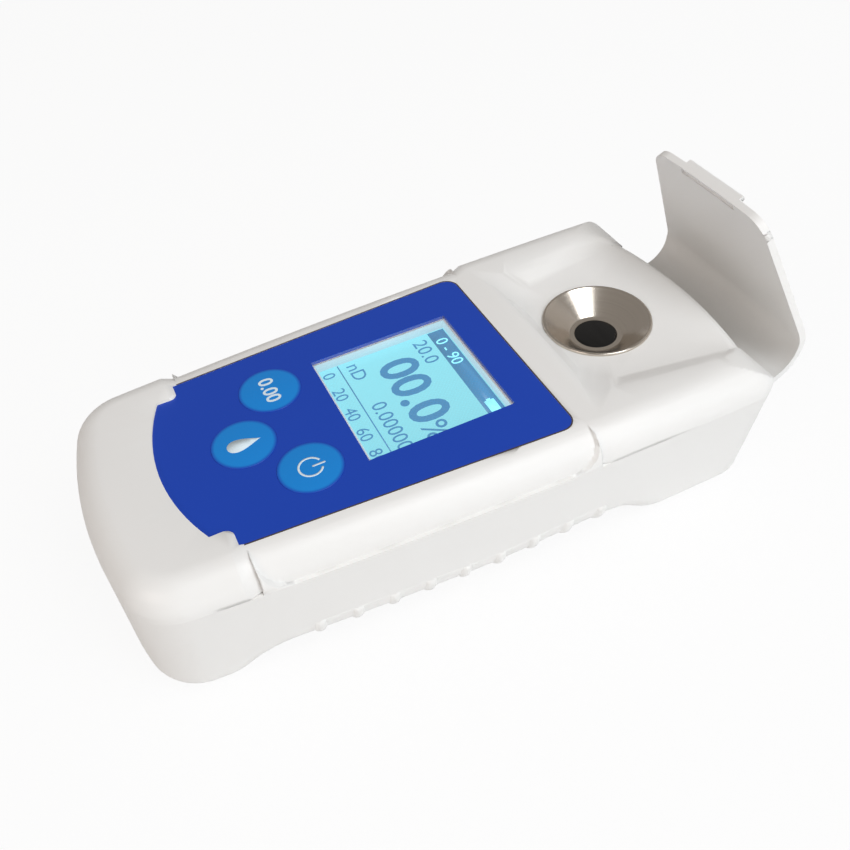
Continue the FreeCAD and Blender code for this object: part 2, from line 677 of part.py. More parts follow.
def overlay_form(name, low, thick):
    body = prism_body(name, "XY_Plane", overlay_outline(), low, thick)
    edge = number("overlay_edge")
    notch = -number("overlay_notch")
    round_edges(body, name + "_corners", "overlay_corner",
                lambda e: upright(e) and abs(middle(e).x - edge) < 0.1)
    round_edges(body, name + "_notches", "overlay_corner / 2",
                lambda e: upright(e) and abs(middle(e).x - notch) < 0.1
                and abs(middle(e).y) < number("overlay_notch_half") + 0.5)
    return body


overlay_bed = overlay_form("overlay_bed", "panel_plane - overlay_thick", "overlay_thick + wall")
sight_length = "(window_length / 2 - window_ledge)"
sight_width = "(window_width / 2 - window_ledge)"
aperture = block("aperture", ("-%s" % sight_length, sight_length), ("-%s" % sight_width, sight_width),
                 ("parting_height", "panel_plane"))

KEYS = {
    "zero_key": ("-outer_key_reach", "outer_key_side"),
    "measure_key": ("-middle_key_reach", "0"),
    "power_key": ("-outer_key_reach", "-outer_key_side"),
}
key_wells = []
for key, (x, y) in KEYS.items():
    key_wells.append(rod(key + "_well", "key_radius + 4 * key_gap",
                         (x, y, "panel_plane - overlay_thick - key_flange - key_travel - key_gap"), "wall"))
    key_wells.append(rod(key + "_guide", "stem_radius + 3 * key_gap", (x, y, "parting_height"), "3 * wall"))

dish_seat = rod("dish_seat", "dish_radius + key_gap", ("dish_reach", "0", "panel_plane - dish_drop - dish_lip"),
                "2 * wall")
dish_hole = rod("dish_hole", "dish_body + key_gap", ("dish_reach", "0", "parting_height"), "2 * wall")


def each_corner(reaches, side):
    """Places of four fasteners, two at each reach along X."""
    return [(reach, sign + side) for reach in reaches for sign in ("-", "")]


BOARD_SCREWS = each_corner(("-board_screw_reach", "board_screw_near"), "board_screw_side")
OPTICS_SCREWS = each_corner(("dish_reach - optics_screw_reach", "dish_reach + optics_screw_reach"),
                            "optics_screw_side")
CASE_SCREWS = (each_corner(("-case_screw_key",), "case_screw_key_side")
               + each_corner(("case_screw_dish",), "case_screw_dish_side"))

bosses = []
pilots = []
for index, (x, y) in enumerate(BOARD_SCREWS):
    bosses.append(rod("board_boss_%d" % index, "boss_radius", (x, y, "board_top"),
                      "%s - board_top" % cover_ceiling))
    pilots.append(rod("board_pilot_%d" % index, "screw_radius", (x, y, "board_top"), "2 * wall"))
for index, (x, y) in enumerate(OPTICS_SCREWS):
    bosses.append(rod("optics_boss_%d" % index, "boss_radius", (x, y, "flange_top"),
                      "%s - flange_top" % deck_ceiling))
    pilots.append(rod("optics_pilot_%d" % index, "screw_radius", (x, y, "flange_top"), "2 * wall"))
for index, (x, y) in enumerate(CASE_SCREWS):
    ceiling = cover_ceiling if x.startswith("-") else deck_ceiling
    bosses.append(rod("case_boss_%d" % index, "case_post", (x, y, "case_joint"),
                      "%s - case_joint" % ceiling))
    pilots.append(rod("case_pilot_%d" % index, "screw_radius", (x, y, "case_joint"),
                      "case_seat + case_length - case_joint + fit_gap"))

cover_shell = cut("cover_shell", rolled, hollow)
cover_with_bosses = fuse("cover_with_bosses", cover_shell, *bosses)
top_cover = piece(cut("top_cover_form", cover_with_bosses, overlay_bed, aperture, dish_seat, dish_hole,
                      *(key_wells + pilots)), "top_cover")
doc.recompute()


# Bottom shell: leaning sides, two feet and a raised underside with grip ridges
shell_form = loft_body("shell_form", case_outline("0", "1"), "0", case_outline(), "parting_height")
round_case_corners(shell_form, "0")
belly_corners = [
    ("key_foot", "-wall"),
    ("key_foot", "0"),
    ("belly_start", "belly_start_rise"),
    ("belly_middle", "belly_middle_rise"),
    ("belly_end", "belly_end_rise"),
    ("belly_step", "belly_step_rise"),
    ("dish_foot", "0"),
    ("dish_foot", "-wall"),
]
belly_sketch = sketch_on(shell_form, "belly_outline", "XZ_Plane")
outline(belly_sketch, belly_corners)
belly = shell_form.newObject("PartDesign::Pocket", "belly")
belly.Profile = belly_sketch
belly.Midplane = True
bind(belly, "Length", "4 * dish_half")
doc.recompute()


def across(edge, x):
    """True for an edge that runs straight across the underside at one place along X."""
    first, last = ends(edge)
    level = max(first.z, last.z) < number("belly_end_rise") + 1
    return level and abs(first.x - last.x) < 0.01 and abs(first.x - number(x)) < 0.01


for index, (x, radius) in enumerate((("key_foot", "base_round + 4"), ("belly_start", "base_round + 4"),
                                     ("belly_middle", "12 * base_round"), ("belly_end", "base_round + 4"),
                                     ("belly_step", "base_round + 1"), ("dish_foot", "base_round + 4"))):
    round_edges(shell_form, "belly_round_%d" % index, radius, lambda edge, x=x: across(edge, x))


def rim_of_base(edge):
    """True for the edges round the underside, which are the lowest ones that don't run across it."""
    first, last = ends(edge)
    straight_across = abs(first.x - last.x) < 0.01 and abs(first.x) < number("key_end_corner - key_draft") - 1
    return max(first.z, last.z) < number("belly_end_rise") + 1.5 and not straight_across


round_edges(shell_form, "base_edges", "base_round", rim_of_base)


# Grip ridges: rounded bars that follow the underside and turn up onto the sides
def height_of_belly(x):
    """Height of the underside between its corners, without their rounds."""
    places = [number(c[0]) for c in belly_corners[1:-1]]
    heights = [number(c[1]) for c in belly_corners[1:-1]]
    for index in range(len(places) - 1):
        if places[index] <= x <= places[index + 1]:
            share = (x - places[index]) / (places[index + 1] - places[index])
            return heights[index] + share * (heights[index + 1] - heights[index])
    return 0.0


def half_width_of_shell(x, height):
    """Half width of the shell at one place, taken from its solid."""
    probe = Part.makeLine(Vector(x, -2 * number("dish_half"), height), Vector(x, 0, height))
    inside = shell_form.Shape.common(probe)
    return -min(vertex.Y for vertex in inside.Vertexes)


def grip_ridge(x):
    """One ridge: a round bar across the underside with its ends bent up along the sides."""
    radius = number("ridge_radius")
    sunk = radius - number("ridge_proud")
    low = height_of_belly(x) + sunk
    bend = number("base_round") - sunk
    lean = number("side_draft / parting_height")
    turn = 0.29289 * bend
    corner = half_width_of_shell(x, low + bend) - number("base_round") * math.hypot(1, lean) + bend
    flat_end = Vector(x, corner - bend, low)
    side_start = Vector(x, corner, low + bend)
    arc = Part.Arc(flat_end, Vector(x, corner - turn, low + turn), side_start)
    other = Part.Arc(Vector(x, -corner, low + bend), Vector(x, turn - corner, low + turn),
                     Vector(x, bend - corner, low))
    middle_run = Part.LineSegment(Vector(x, bend - corner, low), flat_end)
    path = Part.Wire([other.toShape(), middle_run.toShape(), arc.toShape()])
    circle = Part.Circle(Vector(x, -corner, low + bend), Vector(0, 0, 1), radius)
    bar = path.makePipeShell([Part.Wire(circle.toShape())], True, True)
    tips = [Part.makeSphere(radius, Vector(x, sign * corner, low + bend)) for sign in (-1, 1)]
    return bar.fuse(tips)


ridges = doc.addObject("Part::Feature", "grip_ridges")
first_ridge, pitch = number("ridge_first"), number("ridge_pitch")
ridge_count = 1 + int((number("belly_step") - first_ridge) / pitch)
ridges.Shape = Part.makeCompound([grip_ridge(first_ridge + index * pitch) for index in range(ridge_count)])
doc.recompute()


# Inside of the bottom shell
shell_solid = fuse("shell_solid", shell_form, ridges)
shell_room = loft_body("shell_room", case_outline("wall + foot_wall", "1"), "0",
                       case_outline("wall", "-wall / parting_height"), "parting_height + wall")
round_case_corners(shell_room, "wall")
room_corners = [
    ("-2 * key_end", "foot_floor"),
    ("key_foot - wall", "foot_floor"),
    ("belly_start - wall", "belly_start_rise + foot_floor"),
    ("belly_middle", "belly_middle_rise + foot_floor"),
    ("belly_end", "belly_end_rise + foot_floor"),
    ("belly_step + wall", "belly_step_rise + foot_floor"),
    ("dish_foot + wall", "foot_floor"),
    ("2 * dish_end", "foot_floor"),
    ("2 * dish_end", "channel_low - wall"),
    ("channel_back - wall", "channel_low - wall"),
    ("channel_back - wall", "parting_height + 2 * wall"),
    ("-2 * key_end", "parting_height + 2 * wall"),
]
room_profile = prism_body("room_profile", "XZ_Plane", room_corners, "0", "4 * dish_half", both_ways=True)
shell_hollow = common("shell_hollow", shell_room, room_profile)
hollowed = cut("shell_hollowed", shell_solid, shell_hollow)
bay_block = block("bay_block", ("bay_start - bay_wall", "bay_finish + bay_wall"),
                  ("-(bay_half + bay_wall)", "bay_half + bay_wall"), ("bay_foot", "bay_roof + bay_wall"))
posts = [rod("case_post_%d" % index, "case_post", (x, y, "wall / 2"), "case_joint - wall / 2")
         for index, (x, y) in enumerate(CASE_SCREWS)]
ribbed = fuse("shell_ribbed", hollowed, bay_block, *posts)

# Battery bay and the opening under it
bay_room = block("bay_room", ("bay_start", "bay_finish"), ("-bay_half", "bay_half"), ("bay_foot", "bay_roof"))
opening_half = "(bay_half + door_ledge)"
door_opening = block("door_opening", ("bay_start - door_ledge", "bay_finish + door_ledge"),
                     ("-%s" % opening_half, opening_half), ("-wall", "door_inner + door_gap"))
door_axis_x = "(bay_finish + door_ledge - door_gap - door_barrel)"
door_axis_z = "(door_inner - door_barrel)"
door_half = "(%s - door_gap)" % opening_half
trunnion_half = "(%s + trunnion_length)" % door_half
trunnion_bore = rod("trunnion_bore", "trunnion_radius + key_gap",
                    (door_axis_x, "-(%s + key_gap)" % trunnion_half, door_axis_z),
                    "2 * (%s + key_gap)" % trunnion_half, "Y")
leg_slots = [block("leg_slot_%s" % side,
                   ("bay_start - fit_gap", "bay_start + contact_thick + fit_gap"),
                   ("%scell_spacing / 2 - leg_half - fit_gap" % sign,
                    "%scell_spacing / 2 + leg_half + fit_gap" % sign),
                   ("bay_roof - wall", "bay_roof + 2 * bay_wall"))
             for side, sign in (("far", ""), ("near", "-"))]
shanks = []
for index, (x, y) in enumerate(CASE_SCREWS):
    shanks.append(rod("case_shank_%d" % index, "screw_radius + key_gap", (x, y, "0"), "case_joint + wall"))
    shanks.append(rod("case_sink_%d" % index, "case_head + key_gap", (x, y, "-wall"), "case_seat + wall"))
pin_reach = "(%s + pin_seat)" % recess_half
pin_bore = rod("pin_bore", "pin_radius", ("hinge_reach", "-%s" % pin_reach, "hinge_height"),
               "2 * %s" % pin_reach, "Y")
bottom_shell = piece(cut("bottom_shell_form", ribbed, bay_room, door_opening, trunnion_bore, shell_recess,
                         channel, pin_bore, end_rounding, *(leg_slots + shanks)), "bottom_shell")

# Battery door: the piece of the underside that fills the opening, with its hinge and latch
door_block = block("door_block", ("bay_start - door_ledge + door_gap", door_axis_x),
                   ("-%s" % door_half, door_half), ("-wall", "door_inner"))
door_plate = common("door_plate", shell_solid, door_block)
door_roll = rod("door_roll", "door_barrel", (door_axis_x, "-%s" % door_half, door_axis_z),
                "2 * %s" % door_half, "Y")
door_pins = rod("door_pins", "trunnion_radius", (door_axis_x, "-%s" % trunnion_half, door_axis_z),
                "2 * %s" % trunnion_half, "Y")
latch_slots = [block("latch_slot_%s" % side, ("bay_start - 2 * door_ledge", "bay_start - door_ledge + latch_length"),
                     (low, high), ("-wall", "door_inner + wall"))
               for side, low, high in (("far", "latch_half", "latch_half + latch_slot"),
                                       ("near", "-(latch_half + latch_slot)", "-latch_half"))]
battery_door = piece(cut("battery_door_form", fuse("door_solid", door_plate, door_roll, door_pins), *latch_slots),
                     "battery_door")
doc.recompute()

# Keypad overlay, display window and keys
overlay_sheet = overlay_form("overlay_sheet", "panel_plane - overlay_thick", "overlay_thick")
window_cut = block("window_cut", ("-window_length / 2", "window_length / 2"),
                   ("-window_width / 2", "window_width / 2"), ("parting_height", "panel_plane + wall"))
key_holes = [rod(key + "_hole", "key_radius + key_gap", (x, y, "parting_height"), "panel_plane")
             for key, (x, y) in KEYS.items()]
keypad_overlay = piece(cut("keypad_overlay_form", overlay_sheet, window_cut, *key_holes), "keypad_overlay")
pane_length = "(window_length / 2 - fit_gap)"
pane_width = "(window_width / 2 - fit_gap)"
display_window = piece(block("display_window_form", ("-%s" % pane_length, pane_length),
                             ("-%s" % pane_width, pane_width),
                             ("panel_plane - overlay_thick", "panel_plane - fit_gap")), "display_window")
for key, (x, y) in KEYS.items():
    cap = rod(key + "_cap", "key_radius", (x, y, "panel_plane - overlay_thick - fit_gap"),
              "overlay_thick + fit_gap + key_proud")
    flange = rod(key + "_flange", "key_radius + 3 * key_gap",
                 (x, y, "panel_plane - overlay_thick - fit_gap - key_flange"), "key_flange")
    stem = rod(key + "_stem", "stem_radius", (x, y, "panel_plane - overlay_thick - stem_length"), "stem_length")
    piece(fuse(key + "_form", cap, flange, stem), key)

# Display: glass on a light guide in a frame that stands on the board
glass_top = "(panel_plane - overlay_thick - wall)"
glass_low = "(%s - glass_thick)" % glass_top
light_low = "(%s - light_thick)" % glass_low


def centred(name, length, width, low, high, x="0", y="0"):
    """Box centred on a place in plan."""
    return block(name, ("(%s) - (%s) / 2" % (x, length), "(%s) + (%s) / 2" % (x, length)),
                 ("(%s) - (%s) / 2" % (y, width), "(%s) + (%s) / 2" % (y, width)), (low, high))


lcd_panel = piece(centred("lcd_panel_form", "glass_length", "glass_width", glass_low, glass_top), "lcd_panel")
backlight_panel = piece(centred("backlight_form", "glass_length", "glass_width", light_low, glass_low),
                        "backlight_panel")
frame_top = "(%s - 2 * contact_thick)" % glass_top
frame_outer = centred("frame_outer", "glass_length + 2 * frame_rim", "glass_width + 2 * frame_rim",
                      "board_top", frame_top)
frame_inner = centred("frame_inner", "glass_length + 2 * fit_gap", "glass_width + 2 * fit_gap",
                      light_low, "panel_plane")
FRAME_LEGS = each_corner(("-glass_length / 2", "glass_length / 2"), "glass_width / 2")
frame_legs = [rod("frame_leg_%d" % index, "frame_rim / 2", (x, y, "board_top - board_thick - frame_rim / 2"),
                  "board_thick + frame_rim / 2") for index, (x, y) in enumerate(FRAME_LEGS)]
lcd_frame = piece(fuse("lcd_frame_form", cut("frame_ring", frame_outer, frame_inner), *frame_legs), "lcd_frame")
flex_fold = "(glass_length / 2 + frame_rim + wall)"
flex_run = block("flex_run", ("glass_length / 2", flex_fold), ("-flex_half", "flex_half"),
                 (frame_top, "%s + contact_thick / 2" % frame_top))
flex_drop = block("flex_drop", (flex_fold, "%s + contact_thick / 2" % flex_fold), ("-flex_half", "flex_half"),
                  ("board_top", "%s + contact_thick / 2" % frame_top))
lcd_flex = piece(fuse("lcd_flex_form", flex_run, flex_drop), "lcd_flex")

# Main board with its parts
board_low = "(board_top - board_thick)"
board_plate = block("board_plate", ("-board_key_end", "board_dish_end"), ("-board_half", "board_half"),
                    (board_low, "board_top"))
board_holes = [rod("board_hole_%d" % index, "screw_radius + key_gap", (x, y, "board_top - wall"), "2 * wall")
               for index, (x, y) in enumerate(BOARD_SCREWS)]
board_holes += [rod("board_notch_%d" % index, "case_post + 4 * key_gap", (x, y, "board_top - wall"), "2 * wall")
                for index, (x, y) in enumerate(CASE_SCREWS[:2])]
board_holes += [rod("leg_hole_%d" % index, "frame_rim / 2 + fit_gap", (x, y, "board_top - wall"), "2 * wall")
                for index, (x, y) in enumerate(FRAME_LEGS)]
main_board = piece(cut("main_board_form", board_plate, *board_holes), "main_board")
chips = [
    centred("controller", "10", "10", "%s - 1.2" % board_low, board_low, "-8"),
    centred("amplifier", "5", "6", "%s - 1.4" % board_low, board_low, "9", "9"),
    centred("memory", "5", "4", "%s - 1.4" % board_low, board_low, "9", "-9"),
    centred("regulator", "4", "6.4", "%s - 1.8" % board_low, board_low, "-30", "12"),
    centred("inductor", "6", "6", "%s - 3" % board_low, board_low, "-30", "-12"),
    centred("flex_socket", "3", "2 * flex_half", "board_top", "board_top + 1.6",
            "%s + contact_thick / 2 + 1.5" % flex_fold),
    centred("sensor_plug", "4", "9", "%s - 3" % board_low, board_low, "22", "8"),
    centred("lamp_plug", "4", "5", "%s - 3" % board_low, board_low, "22", "-8"),
]
for index in range(6):
    chips.append(centred("capacitor_%d" % index, "1.6", "0.8", "%s - 0.8" % board_low, board_low,
                         "%d" % (3 * index - 20), "9.5"))
board_chips = piece(group("board_chips_form", *chips), "board_chips")
crystal_ends = [rod("crystal_end_%s" % side, "1.9", (x, "-9.5", "%s - 3.4" % board_low), "3.4")
                for side, x in (("key", "-21"), ("dish", "-14.4"))]
crystal_can = centred("crystal_can", "6.6", "3.8", "%s - 3.4" % board_low, board_low, "-17.7", "-9.5")
quartz_crystal = piece(fuse("quartz_crystal_form", crystal_can, *crystal_ends), "quartz_crystal")
switches = []
for key, (x, y) in KEYS.items():
    base = centred(key + "_switch_base", "switch_side", "switch_side", "board_top", "board_top + switch_body", x, y)
    nub = rod(key + "_switch_nub", "switch_nub_radius", (x, y, "board_top"), "switch_body + switch_nub")
    switches.append(fuse(key + "_switch", base, nub))
tact_switches = piece(group("tact_switches_form", *switches), "tact_switches")
doc.recompute()


# Sample dish, turned from one piece of steel
lip_top = "(panel_plane - dish_drop)"
dish_low = "(%s - dish_depth)" % lip_top
dish_corners = [
    ("dish_mouth", lip_top),
    ("dish_radius", lip_top),
    ("dish_radius", "%s - dish_lip" % lip_top),
    ("dish_body", "%s - dish_lip" % lip_top),
    ("dish_body", deck_ceiling),
    ("dish_neck", deck_ceiling),
    ("dish_neck", "%s - dish_floor" % dish_low),
    ("prism_radius + fit_gap", "%s - dish_floor" % dish_low),
    ("prism_radius + fit_gap", dish_low),
    ("dish_bottom", dish_low),
]
sample_dish = piece(turned_body("sample_dish_form", dish_corners, "dish_reach"), "sample_dish")
dish_gasket = piece(turned_body("dish_gasket_form", [
    ("dish_neck + fit_gap", "%s - gasket_thick" % deck_ceiling),
    ("gasket_radius", "%s - gasket_thick" % deck_ceiling),
    ("gasket_radius", deck_ceiling),
    ("dish_neck + fit_gap", deck_ceiling),
], "dish_reach"), "dish_gasket")

# Prism: a round face in the dish's floor over a block with two slanting faces
seal_top = "(%s - dish_floor)" % dish_low
seal_low = "(%s - seal_thick)" % seal_top
prism_low = "(%s - prism_height)" % seal_low
prism_neck = rod("prism_neck", "prism_radius", ("dish_reach", "0", "%s - seal_thick" % seal_low),
                 "2 * seal_thick + dish_floor")
prism_block = prism_body("prism_block", "XZ_Plane", [
    ("dish_reach - prism_top / 2", seal_low),
    ("dish_reach - prism_foot / 2", prism_low),
    ("dish_reach + prism_foot / 2", prism_low),
    ("dish_reach + prism_top / 2", seal_low),
], "0", "2 * prism_half", both_ways=True)
prism = piece(fuse("prism_form", prism_block, prism_neck), "prism")
prism_seal = piece(turned_body("prism_seal_form", [
    ("prism_radius + fit_gap", seal_low),
    ("dish_bottom", seal_low),
    ("dish_bottom", seal_top),
    ("prism_radius + fit_gap", seal_top),
], "dish_reach"), "prism_seal")

# Optics block: it holds the prism, and two bores at 45 degrees meet under the prism's face
block_top = "(%s - gasket_thick)" % deck_ceiling
block_low = "(%s - block_drop)" % block_top
block_body = prism_body("block_body", "XZ_Plane", [
    ("dish_reach - block_half_length", block_top),
    ("dish_reach - block_half_length", "%s + block_slant" % block_low),
    ("dish_reach - block_half_length + block_slant", block_low),
    ("dish_reach + block_half_length - block_slant", block_low),
    ("dish_reach + block_half_length", "%s + block_slant" % block_low),
    ("dish_reach + block_half_length", block_top),
], "0", "2 * block_half", both_ways=True)
block_flange = centred("block_flange", "2 * block_half_length", "2 * flange_half", "flange_top - flange_thick",
                       "flange_top", "dish_reach")
TILT = 0.70711
bore_reach = "((%s - %s + block_half_length - block_slant) * %s)" % (seal_low, block_low, TILT)


def tilted_rod(name, side, radius, near, far):
    """Cylinder along one of the two bores, between two distances from the prism's face."""
    cylinder = doc.addObject("Part::Cylinder", name)
    bind(cylinder, "Radius", radius)
    bind(cylinder, "Height", "(%s) - (%s)" % (far, near))
    cylinder.Placement = Placement(Vector(), Rotation(Vector(0, 1, 0), side * 135))
    place(cylinder, "dish_reach + %s * (%s)" % (side * TILT, near), "0", "%s - %s * (%s)" % (seal_low, TILT, near))
    return cylinder


def tilted_plate(name, side, near, far, half_length, half_width):
    """Plate square to one of the two bores, between two distances from the prism's face."""
    corners = []
    for along, across_by in ((near, "-"), (far, "-"), (far, ""), (near, "")):
        shift = "%s(%s)" % (across_by, half_length)
        corners.append(("dish_reach + %s * ((%s) + %s)" % (side * TILT, along, shift),
                        "%s - %s * ((%s) - %s)" % (seal_low, TILT, along, shift)))
    return prism_body(name, "XZ_Plane", corners, "0", "2 * (%s)" % half_width, both_ways=True)


neck_bore = rod("neck_bore", "dish_neck + fit_gap", ("dish_reach", "0", seal_low), "2 * wall + dish_depth")
prism_pocket = centred("prism_pocket", "prism_top + 2 * fit_gap", "2 * prism_half + 2 * fit_gap",
                       prism_low, seal_top, "dish_reach")
probe_bore = rod("probe_bore", "probe_radius + fit_gap", ("dish_reach", "probe_side", "%s - 3" % seal_top),
                 "wall + 3")
bores = [tilted_rod("lamp_bore", 1, "bore_radius", "prism_top / 4", "2 * %s" % bore_reach),
         tilted_rod("sensor_bore", -1, "bore_radius", "prism_top / 4", "2 * %s" % bore_reach)]
flange_holes = [rod("flange_hole_%d" % index, "screw_radius + key_gap", (x, y, "flange_top - 2 * wall"), "3 * wall")
                for index, (x, y) in enumerate(OPTICS_SCREWS)]
flange_holes += [rod("boss_clearance_%d" % index, "boss_radius + key_gap", (x, y, "flange_top"), "3 * wall")
                 for index, (x, y) in enumerate(OPTICS_SCREWS)]
optics_block = piece(cut("optics_block_form", fuse("block_solid", block_body, block_flange), neck_bore,
                         prism_pocket, probe_bore, *(bores + flange_holes)), "optics_block")
temperature_sensor = piece(rod("temperature_sensor_form", "probe_radius", ("dish_reach", "probe_side",
                                                                           "%s - 3" % seal_top), "3"),
                           "temperature_sensor")
lamp_near = "(%s - lamp_length + 1)" % bore_reach
light_source = piece(fuse("light_source_form",
                          tilted_rod("lamp_body", 1, "lamp_radius", lamp_near, "%s + 1" % bore_reach),
                          tilted_rod("lamp_flange", 1, "lamp_radius + 0.5", bore_reach, "%s + 1" % bore_reach)),
                     "light_source")
led_board = piece(tilted_plate("led_board_form", 1, "%s + 1" % bore_reach, "%s + 2.2" % bore_reach, "3.4", "6.5"),
                  "led_board")
slit_disc = piece(cut("slit_disc_form",
                      tilted_rod("slit_plate", 1, "bore_radius", "%s - 0.6" % lamp_near, "%s - 0.3" % lamp_near),
                      tilted_plate("slit_opening", 1, "%s - 1" % lamp_near, lamp_near, "0.25", "1.2")),
                  "slit_disc")
collimator_lens = piece(tilted_rod("collimator_lens_form", 1, "bore_radius - fit_gap", "%s - 2.4" % lamp_near,
                                   "%s - 0.8" % lamp_near), "collimator_lens")
image_sensor = piece(tilted_plate("image_sensor_form", -1, bore_reach, "%s + 1.5" % bore_reach, "2.8", "7"),
                     "image_sensor")
sensor_board = piece(tilted_plate("sensor_board_form", -1, "%s + 1.5" % bore_reach, "%s + 2.7" % bore_reach,
                                  "5", "8.5"), "sensor_board")
doc.recompute()

# Lid: a crowned plate and a bulging end wall with a round bend, drawn closed and then turned open
def bent_form(name, inset, bend_round, spread="0"):
    """Solid under the lid's outer or inner surface, square at its free edge, spread to each side."""
    body = doc.addObject("PartDesign::Body", name)
    section = sketch_on(body, name + "_section", "YZ_Plane", "lid_edge - wall")
    crown = "lid_top + lid_crown - (%s)" % inset
    half = "lid_bend_half + %s" % spread
    side_top = "%s - lid_crown * (%s) * (%s) / (lid_bend_half * lid_bend_half)" % (crown, half, half)
    outline(section, [
        ("-(lid_foot_half + %s)" % spread, "lid_foot - 2 * wall"),
        ("lid_foot_half + %s" % spread, "lid_foot - 2 * wall"),
        (half, side_top, ("0", crown)),
        ("-(%s)" % half, side_top),
    ])
    pad(body, name + "_run", section, "lid_side + 2 * lid_bulge - lid_edge + wall")
    plan = sketch_on(body, name + "_end", "XY_Plane", "lid_foot - 3 * wall")
    outline(plan, [
        ("lid_side - (%s)" % inset, "-lid_foot_half - wall", ("lid_side + lid_end_bulge - (%s)" % inset, "0")),
        ("lid_side - (%s)" % inset, "lid_foot_half + wall"),
        ("lid_side + 4 * lid_bulge", "lid_foot_half + wall"),
        ("lid_side + 4 * lid_bulge", "-lid_foot_half - wall"),
    ])
    ending = body.newObject("PartDesign::Pocket", name + "_ending")
    ending.Profile = plan
    ending.Reversed = True
    bind(ending, "Length", "2 * lid_top")
    doc.recompute()
    end_x = number("lid_side + lid_end_bulge - (%s)" % inset)
    top_z = number("lid_top + lid_crown - (%s)" % inset)
    round_edges(body, name + "_bend", bend_round,
                lambda edge: abs(middle(edge).x - end_x) < 0.3 and abs(middle(edge).z - top_z) < 0.3)
    return body


lid_outer = bent_form("lid_outer", "0", "lid_bend_round")
lid_inner = bent_form("lid_inner", "lid_thick", "lid_bend_round - lid_thick", "wall / 2")
lid_plan = prism_body("lid_plan", "XY_Plane", [
    ("lid_edge", "-lid_edge_half"),
    ("lid_bend", "-lid_bend_half"),
    ("lid_side", "-lid_foot_half"),
    ("2 * dish_end", "-lid_foot_half"),
    ("2 * dish_end", "lid_foot_half"),
    ("lid_side", "lid_foot_half"),
    ("lid_bend", "lid_bend_half"),
    ("lid_edge", "lid_edge_half"),
], "lid_foot", "lid_top")
free_edge = number("lid_edge")
round_edges(lid_plan, "lid_plan_corners", "lid_corner",
            lambda edge: upright(edge) and abs(middle(edge).x - free_edge) < 0.01)
lid_skin = cut("lid_skin", common("lid_plate", lid_outer, lid_plan), lid_inner)
crown_top = "(lid_top + lid_crown)"
thumb_tab = prism_body("thumb_tab", "XZ_Plane", [
    ("lid_edge", "%s - lid_thick / 2" % crown_top),
    ("lid_edge", "%s + tab_proud / 2" % crown_top, ("lid_edge + tab_length / 4", "%s + tab_proud" % crown_top)),
    ("lid_edge + tab_length / 2", "%s + tab_proud / 2" % crown_top),
    ("lid_edge + tab_length", "%s - lid_thick / 2" % crown_top),
], "0", "2 * tab_half", both_ways=True)
tab_groove = rod("tab_groove", "tab_proud / 2",
                 ("lid_edge + tab_length / 2", "-tab_half", "%s - lid_thick" % crown_top), "2 * tab_half", "Y")
knuckles = [rod("knuckle_%s" % side, "knuckle_radius", ("hinge_reach", low, "hinge_height"), "knuckle_length", "Y")
            for side, low in (("far", "lid_foot_half - knuckle_length"), ("near", "-lid_foot_half"))]
lid_bore = rod("lid_bore", "pin_radius + fit_gap", ("hinge_reach", "-lid_foot_half - wall", "hinge_height"),
               "2 * (lid_foot_half + wall)", "Y")
lid_closed = cut("lid_closed", fuse("lid_solid", lid_skin, thumb_tab, *knuckles), tab_groove, lid_bore)
lid = piece(group("lid_form", lid_closed), "lid")
lid.Placement = Placement(Vector(), Rotation(Vector(0, 1, 0), number("lid_open")))
bind(lid, "Placement.Rotation.Angle", "lid_open")
bind(lid, "Placement.Base.x", "hinge_reach - hinge_reach * cos(lid_open) - hinge_height * sin(lid_open)")
bind(lid, "Placement.Base.z", "hinge_height + hinge_reach * sin(lid_open) - hinge_height * cos(lid_open)")
pin_ends = (("far", "lid_foot_half - knuckle_length"), ("near", "-%s" % pin_reach))
hinge_pins = piece(group("hinge_pins_form", *[
    rod("hinge_pin_%s" % side, "pin_radius", ("hinge_reach", low, "hinge_height"),
        "%s - lid_foot_half + knuckle_length" % pin_reach, "Y") for side, low in pin_ends]), "hinge_pins")
doc.recompute()

# Two cells side by side, one each way round
cells = []
bumps = []
far_row = "cell_spacing / 2"
near_row = "-cell_spacing / 2"
turned_start = "(bay_start + bay_finish - cell_start)"
for side, y, body_low, nub_low in (
        ("far", far_row, "cell_start", "cell_start + cell_length"),
        ("near", near_row, "%s - cell_length" % turned_start, "%s - cell_length - cell_nub" % turned_start)):
    cell = rod("cell_%s" % side, "cell_radius", (body_low, y, "cell_height"), "cell_length", "X")
    nub = rod("cell_nub_%s" % side, "cell_nub_radius", (nub_low, y, "cell_height"), "cell_nub", "X")
    cells.append(fuse("cell_with_nub_%s" % side, cell, nub))
battery_cells = piece(group("battery_cells_form", *cells), "battery_cells")


def contact_plate(name, x, y, width):
    """Square spring plate at one end of the bay."""
    return block(name, (x, "%s + contact_thick" % x),
                 ("(%s) - (%s) / 2" % (y, width), "(%s) + (%s) / 2" % (y, width)),
                 ("cell_height - contact_side / 2", "cell_height + contact_side / 2"))


def contact_leg(name, y):
    """Strip from a contact plate up to the main board."""
    return block(name, ("bay_start", "bay_start + contact_thick"), ("(%s) - leg_half" % y, "(%s) + leg_half" % y),
                 ("cell_height", board_low))


